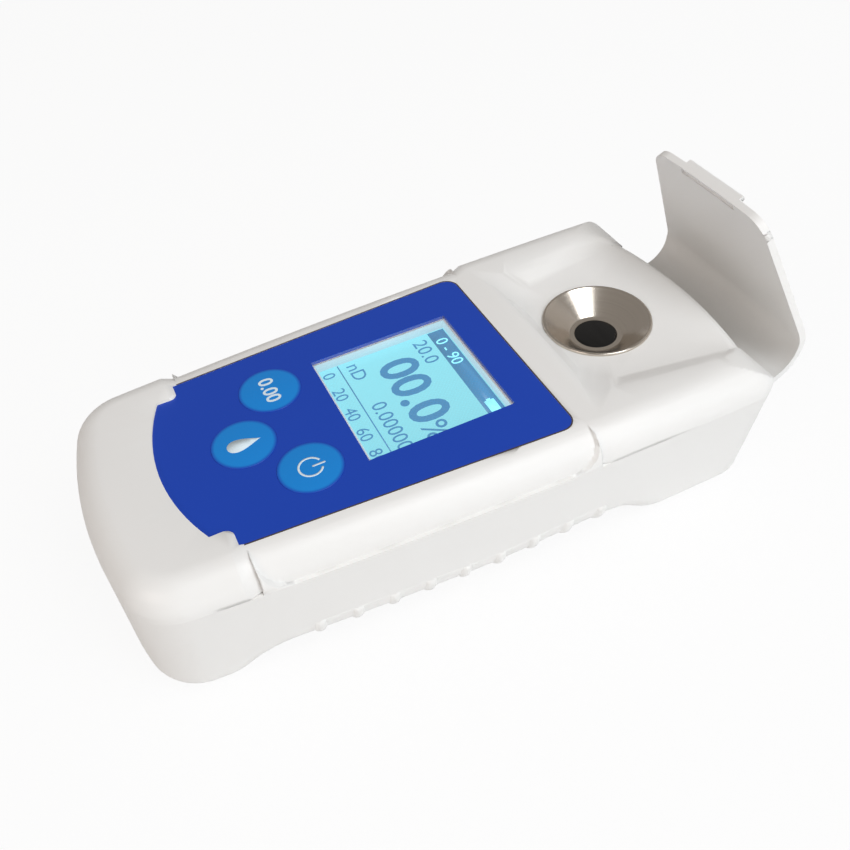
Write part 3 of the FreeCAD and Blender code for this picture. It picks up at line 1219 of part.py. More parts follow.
bump_length = "(bay_finish - contact_thick - cell_start - cell_length - cell_nub)"
near_bump = rod("contact_bump_near", "cell_nub_radius + 0.3", ("bay_start + contact_thick", near_row, "cell_height"),
                bump_length, "X")
far_bump = rod("contact_bump_far", "cell_nub_radius + 0.3",
               ("bay_finish - contact_thick - %s" % bump_length, far_row, "cell_height"), bump_length, "X")
battery_contacts = piece(group(
    "battery_contacts_form",
    fuse("contact_plus", contact_plate("plate_plus", "bay_start", near_row, "contact_side"),
         contact_leg("leg_plus", near_row), near_bump),
    fuse("contact_minus", contact_plate("plate_minus", "bay_start", far_row, "contact_side"),
         contact_leg("leg_minus", far_row)),
    fuse("contact_bridge", contact_plate("plate_bridge", "bay_finish - contact_thick", "0",
                                         "cell_spacing + contact_side"), far_bump),
), "battery_contacts")


def coil(name, x, y):
    """Compression spring between a contact plate and the flat end of a cell."""
    wire = number("spring_wire")
    run = number("cell_start - bay_start - contact_thick") - 2 * wire
    radius = number("spring_radius")
    helix = Part.makeHelix(run / 2.5, run, radius)
    circle = Part.Wire(Part.makeCircle(wire, Vector(radius, 0, 0), Vector(0, 1, 0)))
    thing = doc.addObject("Part::Feature", name)
    thing.Shape = Part.Wire(helix).makePipeShell([circle], True, True)
    thing.Placement = Placement(Vector(number(x) + wire, number(y), number("cell_height")), TURN["X"])
    return thing


battery_springs = piece(group("battery_springs_form",
                              coil("spring_far", "bay_start + contact_thick", far_row),
                              coil("spring_near", turned_start, near_row)), "battery_springs")


def screws(name, places, seat, length, head_radius, head_thick):
    """Group of screws that point up, with their heads below a seat."""
    made = []
    for index, (x, y) in enumerate(places):
        head = rod("%s_head_%d" % (name, index), head_radius, (x, y, "%s - %s" % (seat, head_thick)), head_thick)
        shank = rod("%s_shank_%d" % (name, index), "screw_radius", (x, y, seat), length)
        slot = centred("%s_slot_%d" % (name, index), "1.5 * %s" % head_radius, "0.4",
                       "%s - %s - 0.1" % (seat, head_thick), "%s - 0.6 * %s" % (seat, head_thick), x, y)
        made.append(cut("%s_screw_%d" % (name, index), fuse("%s_blank_%d" % (name, index), head, shank), slot))
    return piece(group(name + "_form", *made), name)


screws("case_screws", CASE_SCREWS, "case_seat", "case_length", "case_head", "case_head_thick")
screws("board_screws", BOARD_SCREWS, board_low, "board_thick + 3.5", "screw_head", "head_thick")
screws("optics_screws", OPTICS_SCREWS, "(flange_top - flange_thick)", "flange_thick + 3.5", "screw_head",
       "head_thick")
doc.recompute()

# Every object has to be sound before any file is written
faults = [thing.Name for thing in doc.Objects if "Invalid" in thing.State or "Error" in thing.State]
if faults:
    raise RuntimeError("objects with faults: " + ", ".join(faults))
for thing in PIECES:
    if thing.Shape.isNull() or not thing.Shape.isValid():
        raise RuntimeError("unsound shape: " + thing.Label)
os.makedirs("parts", exist_ok=True)
for thing in PIECES:
    thing.Shape.exportStep("parts/%s.step" % thing.Label)
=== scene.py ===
import math

import bmesh
import bpy
from bpy.props import FloatProperty, FloatVectorProperty, PointerProperty
from mathutils import Matrix, Vector


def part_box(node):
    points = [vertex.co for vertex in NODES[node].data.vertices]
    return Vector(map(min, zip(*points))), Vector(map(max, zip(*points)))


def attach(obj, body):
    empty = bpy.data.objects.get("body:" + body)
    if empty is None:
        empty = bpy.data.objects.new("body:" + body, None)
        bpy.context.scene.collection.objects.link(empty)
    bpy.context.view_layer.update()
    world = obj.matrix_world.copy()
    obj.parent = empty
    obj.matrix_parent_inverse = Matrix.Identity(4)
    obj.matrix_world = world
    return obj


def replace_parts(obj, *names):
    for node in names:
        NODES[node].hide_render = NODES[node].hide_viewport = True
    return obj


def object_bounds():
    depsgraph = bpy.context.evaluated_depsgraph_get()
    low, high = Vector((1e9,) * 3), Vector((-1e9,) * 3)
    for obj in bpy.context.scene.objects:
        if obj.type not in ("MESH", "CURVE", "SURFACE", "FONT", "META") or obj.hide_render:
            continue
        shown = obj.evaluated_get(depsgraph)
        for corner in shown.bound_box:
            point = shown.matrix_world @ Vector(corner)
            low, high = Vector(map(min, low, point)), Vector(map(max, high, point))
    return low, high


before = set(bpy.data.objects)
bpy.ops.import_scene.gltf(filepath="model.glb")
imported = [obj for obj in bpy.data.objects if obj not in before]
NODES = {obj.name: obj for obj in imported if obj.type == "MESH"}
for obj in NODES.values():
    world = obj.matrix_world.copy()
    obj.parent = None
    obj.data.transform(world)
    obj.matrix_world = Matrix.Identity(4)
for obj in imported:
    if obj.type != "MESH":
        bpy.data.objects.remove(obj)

bl_info = {
    "name": "Digital refractometer",
    "version": (1, 0, 0),
    "blender": (4, 5, 0),
    "location": "3D View > Sidebar > Refractometer",
    "description": "Dresses the refractometer's solids and sets up the camera and the lights",
    "category": "Object",
}

CAD_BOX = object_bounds()
MM = 0.001

# Heights and places that follow the solids, in metres
PANEL_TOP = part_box("keypad_overlay")[1].z
KEY_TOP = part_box("zero_key")[1].z
GLASS_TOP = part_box("lcd_panel")[1].z
DISH_LOW, DISH_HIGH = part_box("sample_dish")
DISH_AXIS = (DISH_LOW + DISH_HIGH) / 2
PRISM_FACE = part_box("prism")[1].z
KEYS = ("zero_key", "measure_key", "power_key")


def linear(code):
    """Linear colour of an sRGB hex code."""
    parts = [int(code[i:i + 2], 16) / 255 for i in (1, 3, 5)]
    return [p / 12.92 if p <= 0.04045 else ((p + 0.055) / 1.055) ** 2.4 for p in parts] + [1.0]


def colour(name, description, code):
    """Colour property with a default given as an sRGB hex code."""
    return FloatVectorProperty(name=name, description=description, subtype="COLOR", size=4, min=0, max=1,
                               default=linear(code))


def length(name, description, millimetres):
    """Length property in metres with a default given in millimetres."""
    return FloatProperty(name=name, description=description, subtype="DISTANCE", unit="LENGTH",
                         default=millimetres * MM)


def angle(name, description, degrees):
    """Angle property in radians with a default given in degrees."""
    return FloatProperty(name=name, description=description, subtype="ANGLE", unit="ROTATION",
                         default=math.radians(degrees))


def strength(name, description, value):
    """Power of a lamp in watts, or strength of the sky."""
    return FloatProperty(name=name, description=description, default=value, min=0)


class CaseSettings(bpy.types.PropertyGroup):
    """Colour and texture of the moulded case and its lid."""
    plastic: colour("Case plastic", "Warm white of the moulded case", "#f3f2f0")
    grain: length("Grain", "Size of the moulded surface's fine texture", 0.5)
    crease: angle("Crease angle", "Edges sharper than this stay sharp", 32)


class KeypadSettings(bpy.types.PropertyGroup):
    """Colours of the printed overlay and its keys."""
    film: colour("Overlay", "Royal blue of the printed film", "#0341b8")
    key: colour("Keys", "Bright blue of the round keys", "#0188de")
    ink: colour("Key prints", "White ink of the key marks", "#e2f2fb")
    # The dark line round the overlay is painted shade of the gap between the film and the case
    gap: length("Overlay gap", "Width of the dark line round the overlay", 0.3)


class DisplaySettings(bpy.types.PropertyGroup):
    """Colours and lettering sizes of the lit display."""
    lit: colour("Backlight", "Pale cyan of the lit display", "#88e3f2")
    dark: colour("Segments", "Darker cyan of the shown marks", "#1c7cb0")
    digit_height: length("Digit height", "Height of the large digits", 8.6)
    small_height: length("Small digits", "Height of the small digits", 3.3)
    wall: colour("Flooded wall", "Pale cyan of the opening's walls in the backlight", "#c4edfa")


class DishSettings(bpy.types.PropertyGroup):
    """Finish of the steel dish and the prism."""
    steel: colour("Steel", "Colour of the turned steel", "#d8cfc4")
    ring: length("Turning marks", "Distance between the fine rings that turning leaves", 0.25)
    lip_round: length("Lip round", "Radius of the dish's rounded lip", 0.25)


class StageSettings(bpy.types.PropertyGroup):
    """Which way the camera looks, its lens, and the lights."""
    heading: angle("Heading", "Camera's heading away from +Y, towards +X when negative", -21.70)
    drop: angle("Drop", "How far the camera looks down", 45.45)
    roll: angle("Roll", "Camera's roll", -5.46)
    lens: FloatProperty(name="Lens", description="Focal length", unit="CAMERA", default=38.51)
    side: strength("Side lamp", "Power of the soft light from the near side", 2.0)
    top: strength("Top lamp", "Power of the soft light from above", 3.8)
    fill: strength("Fill lamp", "Power of the warm light from the key end", 1.7)
    sky: strength("Sky", "Strength of the even light from all round", 0.32)


SETTINGS = {
    "case": CaseSettings,
    "keypad": KeypadSettings,
    "display": DisplaySettings,
    "dish": DishSettings,
    "stage": StageSettings,
}


class RefractometerSettings(bpy.types.PropertyGroup):
    """All settings of the refractometer."""
    case: PointerProperty(type=CaseSettings)
    keypad: PointerProperty(type=KeypadSettings)
    display: PointerProperty(type=DisplaySettings)
    dish: PointerProperty(type=DishSettings)
    stage: PointerProperty(type=StageSettings)


# Materials

# How far a finish's roughness goes up and down over its grain
UNEVEN_GLOSS = 0.05
# The film's velvet texture: its size, depth and gloss
FILM_GRAIN = 0.35 * MM
FILM_DEPTH = 0.006 * MM
FILM_ROUGHNESS = 0.45
# Share of a key's radius at which its lighter ink starts to fade
FADE_START = 0.88
ABS_IOR = 1.53
PLASTIC_IOR = 1.5
GLASS_IOR = 1.5
# Pitch of the display's dots
DOT = 0.45 * MM
# Glow of the lit glass at its near and far edge, of its dark and light marks, and of the walls round it
GLASS_GLOW = (0.68, 0.78)
DARK_GLOW = 0.4
LIGHT_GLOW = 0.8
WALL_GLOW = 0.62


def add(tree, kind, inputs=None, **settings):
    """Add a node. An input given an output socket is linked, and any other input is set."""
    node = tree.nodes.new(kind)
    for name, value in settings.items():
        setattr(node, name, value)
    for name, value in (inputs or {}).items():
        if isinstance(value, bpy.types.NodeSocket):
            tree.links.new(value, node.inputs[name])
        else:
            node.inputs[name].default_value = value
    return node


def shade(tone, share):
    """A colour scaled by a share, opaque."""
    return [share * c for c in tone[:3]] + [1.0]


def finish(name, **sockets):
    """New material with one Principled shader, and its node tree."""
    material = bpy.data.materials.new(name)
    material.use_nodes = True
    shader = material.node_tree.nodes["Principled BSDF"]
    for socket, value in sockets.items():
        shader.inputs[socket.replace("_", " ")].default_value = value
    return material, material.node_tree, shader


def grained(name, tone, grain, depth, roughness, mottle, **sockets):
    """A finish with fine grain of a size in metres and a faint unevenness of tone and gloss."""
    material, tree, shader = finish(name, **sockets)
    place = add(tree, "ShaderNodeTexCoord").outputs["Object"]
    fine = add(tree, "ShaderNodeTexNoise", {"Vector": place, "Scale": 1 / grain, "Detail": 3.0})
    broad = add(tree, "ShaderNodeTexNoise", {"Vector": place, "Scale": 1 / (80 * grain), "Detail": 2.0})
    darker = shade(tone, 1 - 2 * mottle)
    lighter = [min(1.0, c) for c in shade(tone, 1 + mottle)]
    tint = add(tree, "ShaderNodeMix", {"Factor": broad.outputs["Fac"], "A": darker, "B": lighter},
               data_type="RGBA")
    gloss = add(tree, "ShaderNodeMapRange", {"Value": fine.outputs["Fac"],
                                             "To Min": roughness - UNEVEN_GLOSS,
                                             "To Max": roughness + UNEVEN_GLOSS})
    bump = add(tree, "ShaderNodeBump", {"Height": fine.outputs["Fac"], "Strength": 0.5, "Distance": depth})
    tree.links.new(tint.outputs["Result"], shader.inputs["Base Color"])
    tree.links.new(gloss.outputs["Result"], shader.inputs["Roughness"])
    tree.links.new(bump.outputs["Normal"], shader.inputs["Normal"])
    return material


def satin_abs(settings):
    """Injection-moulded ABS: an even warm white whose spark-eroded mould leaves a soft, satin gloss."""
    return grained("satin_abs", settings.plastic[:], settings.grain, 0.012 * MM, 0.40, 0.008,
                   IOR=ABS_IOR)


def printed_polyester(settings):
    """Polyester film printed on its back: a deep even blue under a fine velvet texture."""
    return grained("printed_polyester", settings.film[:], FILM_GRAIN, FILM_DEPTH, FILM_ROUGHNESS, 0.02,
                   IOR=PLASTIC_IOR)


def key_polyester(settings):
    """The same film over a lighter ink, whose printed edge fades into the blue round it."""
    material, tree, shader = finish("key_polyester", Roughness=FILM_ROUGHNESS, IOR=PLASTIC_IOR)
    film, key = settings.film[:], settings.key[:]
    uv = add(tree, "ShaderNodeUVMap", uv_map="key_radius").outputs["UV"]
    reach = add(tree, "ShaderNodeSeparateXYZ", {"Vector": uv}).outputs["X"]
    fade = add(tree, "ShaderNodeMapRange", {"Value": reach, "From Min": FADE_START})
    tint = add(tree, "ShaderNodeMix", {"Factor": fade.outputs["Result"], "A": key, "B": film},
               data_type="RGBA")
    place = add(tree, "ShaderNodeTexCoord").outputs["Object"]
    fine = add(tree, "ShaderNodeTexNoise", {"Vector": place, "Scale": 1 / FILM_GRAIN, "Detail": 3.0})
    bump = add(tree, "ShaderNodeBump", {"Height": fine.outputs["Fac"], "Strength": 0.5,
                                        "Distance": FILM_DEPTH})
    tree.links.new(tint.outputs["Result"], shader.inputs["Base Color"])
    tree.links.new(bump.outputs["Normal"], shader.inputs["Normal"])
    return material


def screen_ink(settings):
    """Screen-printed white ink: flat and slightly rough."""
    return grained("screen_ink", settings.ink[:], 0.3 * MM, 0.002 * MM, 0.5, 0.02)


def shadow_gap():
    """Painted shade of the narrow gap between the film and the case: a warm dark with no gloss, and nearly
    even.
    """
    return grained("overlay_gap", linear("#4a3f3a"), 0.5 * MM, 0.002 * MM, 0.75, 0.05)


def pixels(tree, place, tone, dim, bright):
    """Fine squares of two shares of a tone, the size of the display's dots."""
    return add(tree, "ShaderNodeTexChecker", {"Vector": place, "Scale": 1 / DOT,
                                              "Color1": shade(tone, dim), "Color2": shade(tone, bright)})


def lit_glass(settings):
    """Backlit liquid crystal glass: it glows, a little brighter along the edge where its lamps stand."""
    material, tree, shader = finish("lit_glass", Roughness=0.25, IOR=PLASTIC_IOR)
    lit = settings.lit[:]
    place = add(tree, "ShaderNodeTexCoord").outputs["Object"]
    along = add(tree, "ShaderNodeSeparateXYZ", {"Vector": place}).outputs["Y"]
    near, far = (corner.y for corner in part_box("lcd_panel"))
    glow = add(tree, "ShaderNodeMapRange", {"Value": along, "From Min": near + MM, "From Max": far - MM,
                                            "To Min": GLASS_GLOW[0], "To Max": GLASS_GLOW[1]})
    tree.links.new(glow.outputs["Result"], shader.inputs["Emission Strength"])
    shader.inputs["Emission Color"].default_value = lit
    dots = pixels(tree, place, lit, 0.32, 0.36)
    tree.links.new(dots.outputs["Color"], shader.inputs["Base Color"])
    return material


def shown_segments(name, tone, glow):
    """Marks of the liquid crystal: a deeper cyan where they hold back the backlight, and pale where not."""
    material, tree, shader = finish(name, Roughness=0.3, IOR=PLASTIC_IOR, Emission_Strength=glow)
    place = add(tree, "ShaderNodeTexCoord").outputs["Object"]
    dots = pixels(tree, place, tone, 1.0, 0.9)
    tree.links.new(dots.outputs["Color"], shader.inputs["Base Color"])
    shader.inputs["Emission Color"].default_value = tone
    return material


def flooded_wall(settings):
    """White plastic beside the lit glass: the backlight floods it with a paler cyan than the glass."""
    material, tree, shader = finish("flooded_wall", Roughness=0.5, IOR=PLASTIC_IOR,
                                    Emission_Strength=WALL_GLOW)
    wall = settings.wall[:]
    place = add(tree, "ShaderNodeTexCoord").outputs["Object"]
    fine = add(tree, "ShaderNodeTexNoise", {"Vector": place, "Scale": 1 / (0.5 * MM), "Detail": 2.0})
    tint = add(tree, "ShaderNodeMix", {"Factor": fine.outputs["Fac"], "A": shade(wall, 0.28),
                                       "B": shade(wall, 0.34)}, data_type="RGBA")
    tree.links.new(tint.outputs["Result"], shader.inputs["Base Color"])
    shader.inputs["Emission Color"].default_value = wall
    return material


def clear_polycarbonate():
    """Thin clear polycarbonate: nearly unseen but for its gloss."""
    material, tree, shader = finish("clear_polycarbonate", Roughness=0.06, IOR=PLASTIC_IOR, Alpha=0.06)
    place = add(tree, "ShaderNodeTexCoord").outputs["Object"]
    haze = add(tree, "ShaderNodeTexNoise", {"Vector": place, "Scale": 1 / (6 * MM), "Detail": 2.0})
    tint = add(tree, "ShaderNodeMix", {"Factor": haze.outputs["Fac"], "A": linear("#e9f4f8"),
                                       "B": linear("#ffffff")}, data_type="RGBA")
    tree.links.new(tint.outputs["Result"], shader.inputs["Base Color"])
    return material


def turned_steel(settings):
    """Stainless steel turned on a lathe: fine rings round its axis over a bright, slightly warm metal."""
    material, tree, shader = finish("turned_steel", Metallic=1.0)
    place = add(tree, "ShaderNodeTexCoord").outputs["Object"]
    centred = add(tree, "ShaderNodeMapping", {"Vector": place, "Location": (-DISH_AXIS.x, -DISH_AXIS.y, 0),
                                              "Scale": (1, 1, 0)})
    radius = add(tree, "ShaderNodeVectorMath", {0: centred.outputs["Vector"]}, operation="LENGTH")
    rings = add(tree, "ShaderNodeTexNoise", {"W": radius.outputs["Value"], "Scale": 1 / settings.ring,
                                             "Detail": 3.0}, noise_dimensions="1D")
    tint = add(tree, "ShaderNodeMix", {"Factor": rings.outputs["Fac"], "A": shade(settings.steel, 0.86),
                                       "B": settings.steel[:]}, data_type="RGBA")
    gloss = add(tree, "ShaderNodeMapRange", {"Value": rings.outputs["Fac"], "To Min": 0.14, "To Max": 0.28})
    bump = add(tree, "ShaderNodeBump", {"Height": rings.outputs["Fac"], "Strength": 0.35,
                                        "Distance": 0.004 * MM})
    tree.links.new(tint.outputs["Result"], shader.inputs["Base Color"])
    tree.links.new(gloss.outputs["Result"], shader.inputs["Roughness"])
    tree.links.new(bump.outputs["Normal"], shader.inputs["Normal"])
    return material


def polished_dark_glass():
    """Polished prism glass over a dark chamber: black with a sharp gloss."""
    return grained("polished_dark_glass", linear("#050506"), 2 * MM, 0.0005 * MM, 0.07, 0.1,
                   IOR=GLASS_IOR)


INSIDE_FINISHES = {
    # name: (colour, grain mm, roughness, metallic, nodes)
    # Glass-filled nylon: a matt black with a coarse bloom
    "black_nylon": ("#1b1c1e", 0.4, 0.55, 0.0, ("lcd_frame", "optics_block")),
    # Glass epoxy board under green solder mask: an even, half glossy green
    "solder_mask": ("#175c34", 0.8, 0.35, 0.0, ("main_board", "led_board", "sensor_board")),
    # Moulded black epoxy of chips and switches: a dull black
    "moulded_epoxy": ("#202124", 0.3, 0.5, 0.0, ("board_chips", "tact_switches", "image_sensor")),
    # Nickel-plated steel: bright and slightly warm
    "nickel_plate": ("#c4c0b8", 0.6, 0.28, 1.0,
                     ("quartz_crystal", "hinge_pins", "battery_contacts", "battery_springs", "case_screws",
                      "board_screws", "optics_screws", "slit_disc", "temperature_sensor")),
    # Moulded black rubber of the seals: dull, with no bright edges
    "nitrile_rubber": ("#161616", 0.3, 0.65, 0.0, ("dish_gasket", "prism_seal")),
    # Polyimide film of the flex cable: a smooth amber
    "amber_polyimide": ("#b8772a", 0.5, 0.3, 0.0, ("lcd_flex",)),
    # Milky acrylic of the light guide: a smooth pale cyan
    "milky_acrylic": ("#dff3f7", 0.8, 0.3, 0.0, ("backlight_panel",)),
    # Shrunk sleeve round the cells: a smooth dark grey
    "printed_sleeve": ("#3a3d42", 0.8, 0.3, 0.0, ("battery_cells",)),
    # Clear epoxy of the lamp: glossy and slightly yellow
    "clear_epoxy": ("#e8d9a8", 0.8, 0.12, 0.0, ("light_source",)),
    # Polished optical glass of the lens: sharp gloss over a pale tone
    "optical_glass": ("#cfe0e4", 0.8, 0.05, 0.0, ("collimator_lens",)),
}
INSIDE_DEPTH = 0.008 * MM
INSIDE_MOTTLE = 0.04


# Shaping helpers

def dress(node, material):
    """Give a solid of the frame its material."""
    NODES[node].data.materials.clear()
    NODES[node].data.materials.append(material)


def new_piece(name, bm, material, body, crease=None):
    """Turn a bmesh into an object that rides on a body and carries a material slot of the frame."""
    mesh = bpy.data.meshes.new(name)
    bm.to_mesh(mesh)
    bm.free()
    mesh.polygons.foreach_set("use_smooth", [True] * len(mesh.polygons))
    if crease is not None:
        mesh.set_sharp_from_angle(angle=crease)
    mesh.materials.append(material)
    thing = bpy.data.objects.new(name, mesh)
    bpy.context.scene.collection.objects.link(thing)
    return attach(thing, body)


# Points closer than this are one
SAME_POINT = 0.001 * MM


def merged(node):
    """Bmesh copy of a solid's mesh with its loose triangles joined."""
    bm = bmesh.new()
    bm.from_mesh(NODES[node].data)
    for layer in list(bm.loops.layers.float_vector):
        bm.loops.layers.float_vector.remove(layer)
    bmesh.ops.remove_doubles(bm, verts=bm.verts, dist=SAME_POINT)
    return bm


def smooth_copy(node, name, material, body, crease):
    """Stand-in for a solid with its round surfaces shaded smoothly."""
    thing = new_piece(name, merged(node), material, body, crease)
    even = thing.modifiers.new("even_shading", "WEIGHTED_NORMAL")
    even.keep_sharp = True
    even.weight = 80
    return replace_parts(thing, node)


def turned(profile, centre, steps):
    """Bmesh turned about an upright axis from (radius, height) points, all in metres."""
    bm = bmesh.new()
    verts = [bm.verts.new((centre.x + radius, centre.y, height)) for radius, height in profile]
    edges = [bm.edges.new(pair) for pair in zip(verts, verts[1:])]
    bmesh.ops.spin(bm, geom=verts + edges, cent=(centre.x, centre.y, 0), axis=(0, 0, 1), angle=math.tau,
                   steps=steps, use_merge=True)
    bmesh.ops.remove_doubles(bm, verts=bm.verts, dist=SAME_POINT / 10)
    bmesh.ops.recalc_face_normals(bm, faces=bm.faces)
    return bm


def slab(bm, low, high, bevel=0.0):
    """Add a box between two corners, with its upright edges rounded."""
    made = bmesh.ops.create_cube(bm, size=1.0)["verts"]
    size = Vector(high) - Vector(low)
    bmesh.ops.scale(bm, vec=size, verts=made)
    bmesh.ops.translate(bm, vec=(Vector(low) + Vector(high)) / 2, verts=made)
    if bevel:
        upright = {e for v in made for e in v.link_edges
                   if abs(e.verts[0].co.z - e.verts[1].co.z) > 0.5 * size.z}
        bmesh.ops.bevel(bm, geom=list(upright), offset=bevel, segments=6, profile=0.5, affect="EDGES",
                        material=-1)
    return bm


def quarter_round(outer, top, radius):
    """Points of a round edge from its outer side up to its top, as (radius, height)."""
    turns = [math.radians(22.5 * step) for step in range(5)]
    return [(outer - radius + radius * math.cos(turn), top - radius + radius * math.sin(turn))
            for turn in turns]


# Thickness of a print, and the straight steps in a round print
PRINT_THICK = 0.02 * MM
ROUND_STEPS = 40


def lettering(bm, text, height, place, weight=0.0):
    """Add a line of text whose top points to +X and which is centred on a place."""
    curve = bpy.data.curves.new("digits", "FONT")
    curve.body = text
    curve.size = 1.0
    curve.offset = weight
    curve.extrude = 0.5
    curve.resolution_u = 4
    holder = bpy.data.objects.new("digits", curve)
    bpy.context.scene.collection.objects.link(holder)
    bpy.context.view_layer.update()
    mesh = bpy.data.meshes.new_from_object(holder.evaluated_get(bpy.context.evaluated_depsgraph_get()))
    low = [min(v.co[i] for v in mesh.vertices) for i in (0, 1)]
    high = [max(v.co[i] for v in mesh.vertices) for i in (0, 1)]
    scale = height / (high[1] - low[1])
    middle = Vector(((low[0] + high[0]) / 2, (low[1] + high[1]) / 2, 0))
    turn = Matrix.Rotation(-math.pi / 2, 4, "Z")
    size = Matrix.Diagonal((scale, scale, PRINT_THICK, 1))
    mesh.transform(Matrix.Translation(place) @ turn @ size @ Matrix.Translation(-middle))
    bm.from_mesh(mesh)
    bpy.data.objects.remove(holder)
    bpy.data.meshes.remove(mesh)
    return bm


def arc_bar(bm, centre, radius, width, start, sweep):
    """Add a flat bar bent round a centre, from a start angle."""
    made = []
    for reach in (radius - width / 2, radius + width / 2):
        for z in (centre.z - PRINT_THICK / 2, centre.z + PRINT_THICK / 2):
            spot = centre.copy()
            spot.x += reach * math.cos(start)
            spot.y += reach * math.sin(start)
            spot.z = z
            made.append(bm.verts.new(spot))
    face = bm.faces.new((made[0], made[1], made[3], made[2]))
    geometry = [face] + list(face.edges) + list(face.verts)
    bmesh.ops.spin(bm, geom=geometry, cent=centre, axis=(0, 0, 1), angle=sweep, steps=ROUND_STEPS,
                   use_duplicate=False)
    bmesh.ops.recalc_face_normals(bm, faces=bm.faces)
    return bm


# The case

CASE_PIECES = {
    # solid: (piece, body)
    "top_cover": ("case_cover", "housing"),
    "bottom_shell": ("case_base", "housing"),
    "battery_door": ("case_door", "battery_door"),
    "lid": ("splash_lid", "lid"),
}


class REFRACTOMETER_OT_case(bpy.types.Operator):
    """Smoothly shaded case halves, battery door and lid in white ABS"""
    bl_idname = "refractometer.case"
    bl_label = "Case and lid"

    def execute(self, context):
        settings = context.scene.refractometer.case
        material = satin_abs(settings)
        for node, (name, body) in CASE_PIECES.items():
            smooth_copy(node, name, material, body, settings.crease)
        return {"FINISHED"}


# The overlay and its keys

# Thickness of the overlay, and how far the painted shade line round it is lifted off it
FILM_THICK = PANEL_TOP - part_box("keypad_overlay")[0].z
LINE_LIFT = 0.015 * MM


def overlay_gap(settings):
    """Dark strip painted round the overlay's edge as the shade of the gap where it meets the case."""
    bm = merged("keypad_overlay")
    middle = PANEL_TOP - FILM_THICK / 2
    lower = [f for f in bm.faces if f.normal.z < 0.9 or f.calc_center_median().z < middle]
    bmesh.ops.delete(bm, geom=lower, context="FACES")
    sheet = bm.faces[:]
    bmesh.ops.inset_region(bm, faces=sheet, thickness=-settings.gap, use_boundary=True,
                           use_even_offset=True)
    holes = [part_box(n) for n in KEYS + ("display_window",)]
    extra = set(sheet)
    for face in bm.faces:
        spot = face.calc_center_median()
        if any(a.x - MM < spot.x < b.x + MM and a.y - MM < spot.y < b.y + MM for a, b in holes):
            extra.add(face)
    bmesh.ops.delete(bm, geom=list(extra), context="FACES")
    bm.normal_update()
    bmesh.ops.reverse_faces(bm, faces=[f for f in bm.faces if f.normal.z < 0])
    bmesh.ops.translate(bm, vec=(0, 0, LINE_LIFT), verts=bm.verts)
    return bm


# Key sizes: how far the flange stands out past the face, its thickness, the stem's radius and the
# radius of the face's rounded edge
KEY_FLANGE_OUT = 0.22 * MM
KEY_FLANGE_THICK = 0.3 * MM
KEY_STEM = 2.8 * MM
KEY_EDGE = 0.12 * MM
KEY_STEPS = 72
KEY_CREASE = math.radians(40)


def key_shape(node):
    """A key: a flat face with a soft edge, its retaining flange, and its stem."""
    low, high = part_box(node)
    centre = (low + high) / 2
    flange = (high.x - low.x) / 2
    face = flange - KEY_FLANGE_OUT
    film_low = PANEL_TOP - FILM_THICK
    flange_low = film_low - KEY_FLANGE_THICK
    profile = [(0, high.z)] + quarter_round(face, high.z, KEY_EDGE)[::-1]
    profile += [(face, film_low), (flange, film_low), (flange, flange_low),
                (KEY_STEM, flange_low), (KEY_STEM, low.z), (0, low.z)]
    bm = turned(profile, centre, KEY_STEPS)
    layer = bm.loops.layers.uv.new("key_radius")
    for corner in (loop for f in bm.faces for loop in f.loops):
        reach = (corner.vert.co - centre).xy.length
        corner[layer].uv = (reach / face, 0)
    return bm


def power_mark(bm, place):
    """Open ring with a bar through its gap, the sign for power."""
    ring, stroke, half_gap = 2.25 * MM, 0.42 * MM, math.radians(24)
    bar_start, bar_end = 0.3 * MM, 2.9 * MM
    arc_bar(bm, place, ring, stroke, half_gap, math.tau - 2 * half_gap)
    bar_low = place + Vector((bar_start, -stroke / 2, -PRINT_THICK / 2))
    bar_high = place + Vector((bar_end, stroke / 2, PRINT_THICK / 2))
    return slab(bm, bar_low, bar_high, 0.15 * MM)


def drop_mark(bm, place):
    """Drop of liquid with its point towards +X."""
    half_width, reach = 2.3 * MM, 3.3 * MM
    made = []
    for step in range(ROUND_STEPS):
        turn = math.tau * step / ROUND_STEPS
        across = half_width * math.sin(turn) * math.sin(turn / 2) ** 1.5
        made.append(bm.verts.new(place + Vector((reach * math.cos(turn), across, -PRINT_THICK / 2))))
    face = bm.faces.new(made)
    wall = bmesh.ops.extrude_face_region(bm, geom=[face])["geom"]
    raised = [v for v in wall if isinstance(v, bmesh.types.BMVert)]
    bmesh.ops.translate(bm, vec=(0, 0, PRINT_THICK), verts=raised)
    bmesh.ops.recalc_face_normals(bm, faces=bm.faces)
    return bm


def zero_mark(bm, place):
    """The digits that the key sets the reading to."""
    return lettering(bm, "0.00", 3.1 * MM, place, 0.016)


class REFRACTOMETER_OT_keypad(bpy.types.Operator):
    """Printed overlay, its edge, three keys and their marks"""
    bl_idname = "refractometer.keypad"
    bl_label = "Keypad"

    def execute(self, context):
        settings = context.scene.refractometer.keypad
        dress("keypad_overlay", printed_polyester(settings))
        # The dark ring round the overlay is painted shade of its gap
        new_piece("overlay_edge", overlay_gap(settings), shadow_gap(), "housing")
        film, ink = key_polyester(settings), screen_ink(settings)
        for node, mark in zip(KEYS, (zero_mark, drop_mark, power_mark)):
            key = new_piece(node + "_film", key_shape(node), film, node, KEY_CREASE)
            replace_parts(key, node)
            low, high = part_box(node)
            place = Vector(((low.x + high.x) / 2, (low.y + high.y) / 2, KEY_TOP + PRINT_THICK / 2))
            new_piece(node + "_mark", mark(bmesh.new(), place), ink, node)
        return {"FINISHED"}


# The display

# Places on the display, all in mm: the middles of the big digits, the percent sign and the range text
BIG_DIGITS = (1.1, 0.6)
PERCENT = (0.1, -12.0)
RANGE_TEXT = (12.5, 7.4)
# The rule's and the header bar's ends along X, and how far both reach along Y
RULE = (-10.15, -9.9)
HEADER = (10.7, 14.4)
MARKS_HALF = 14.6
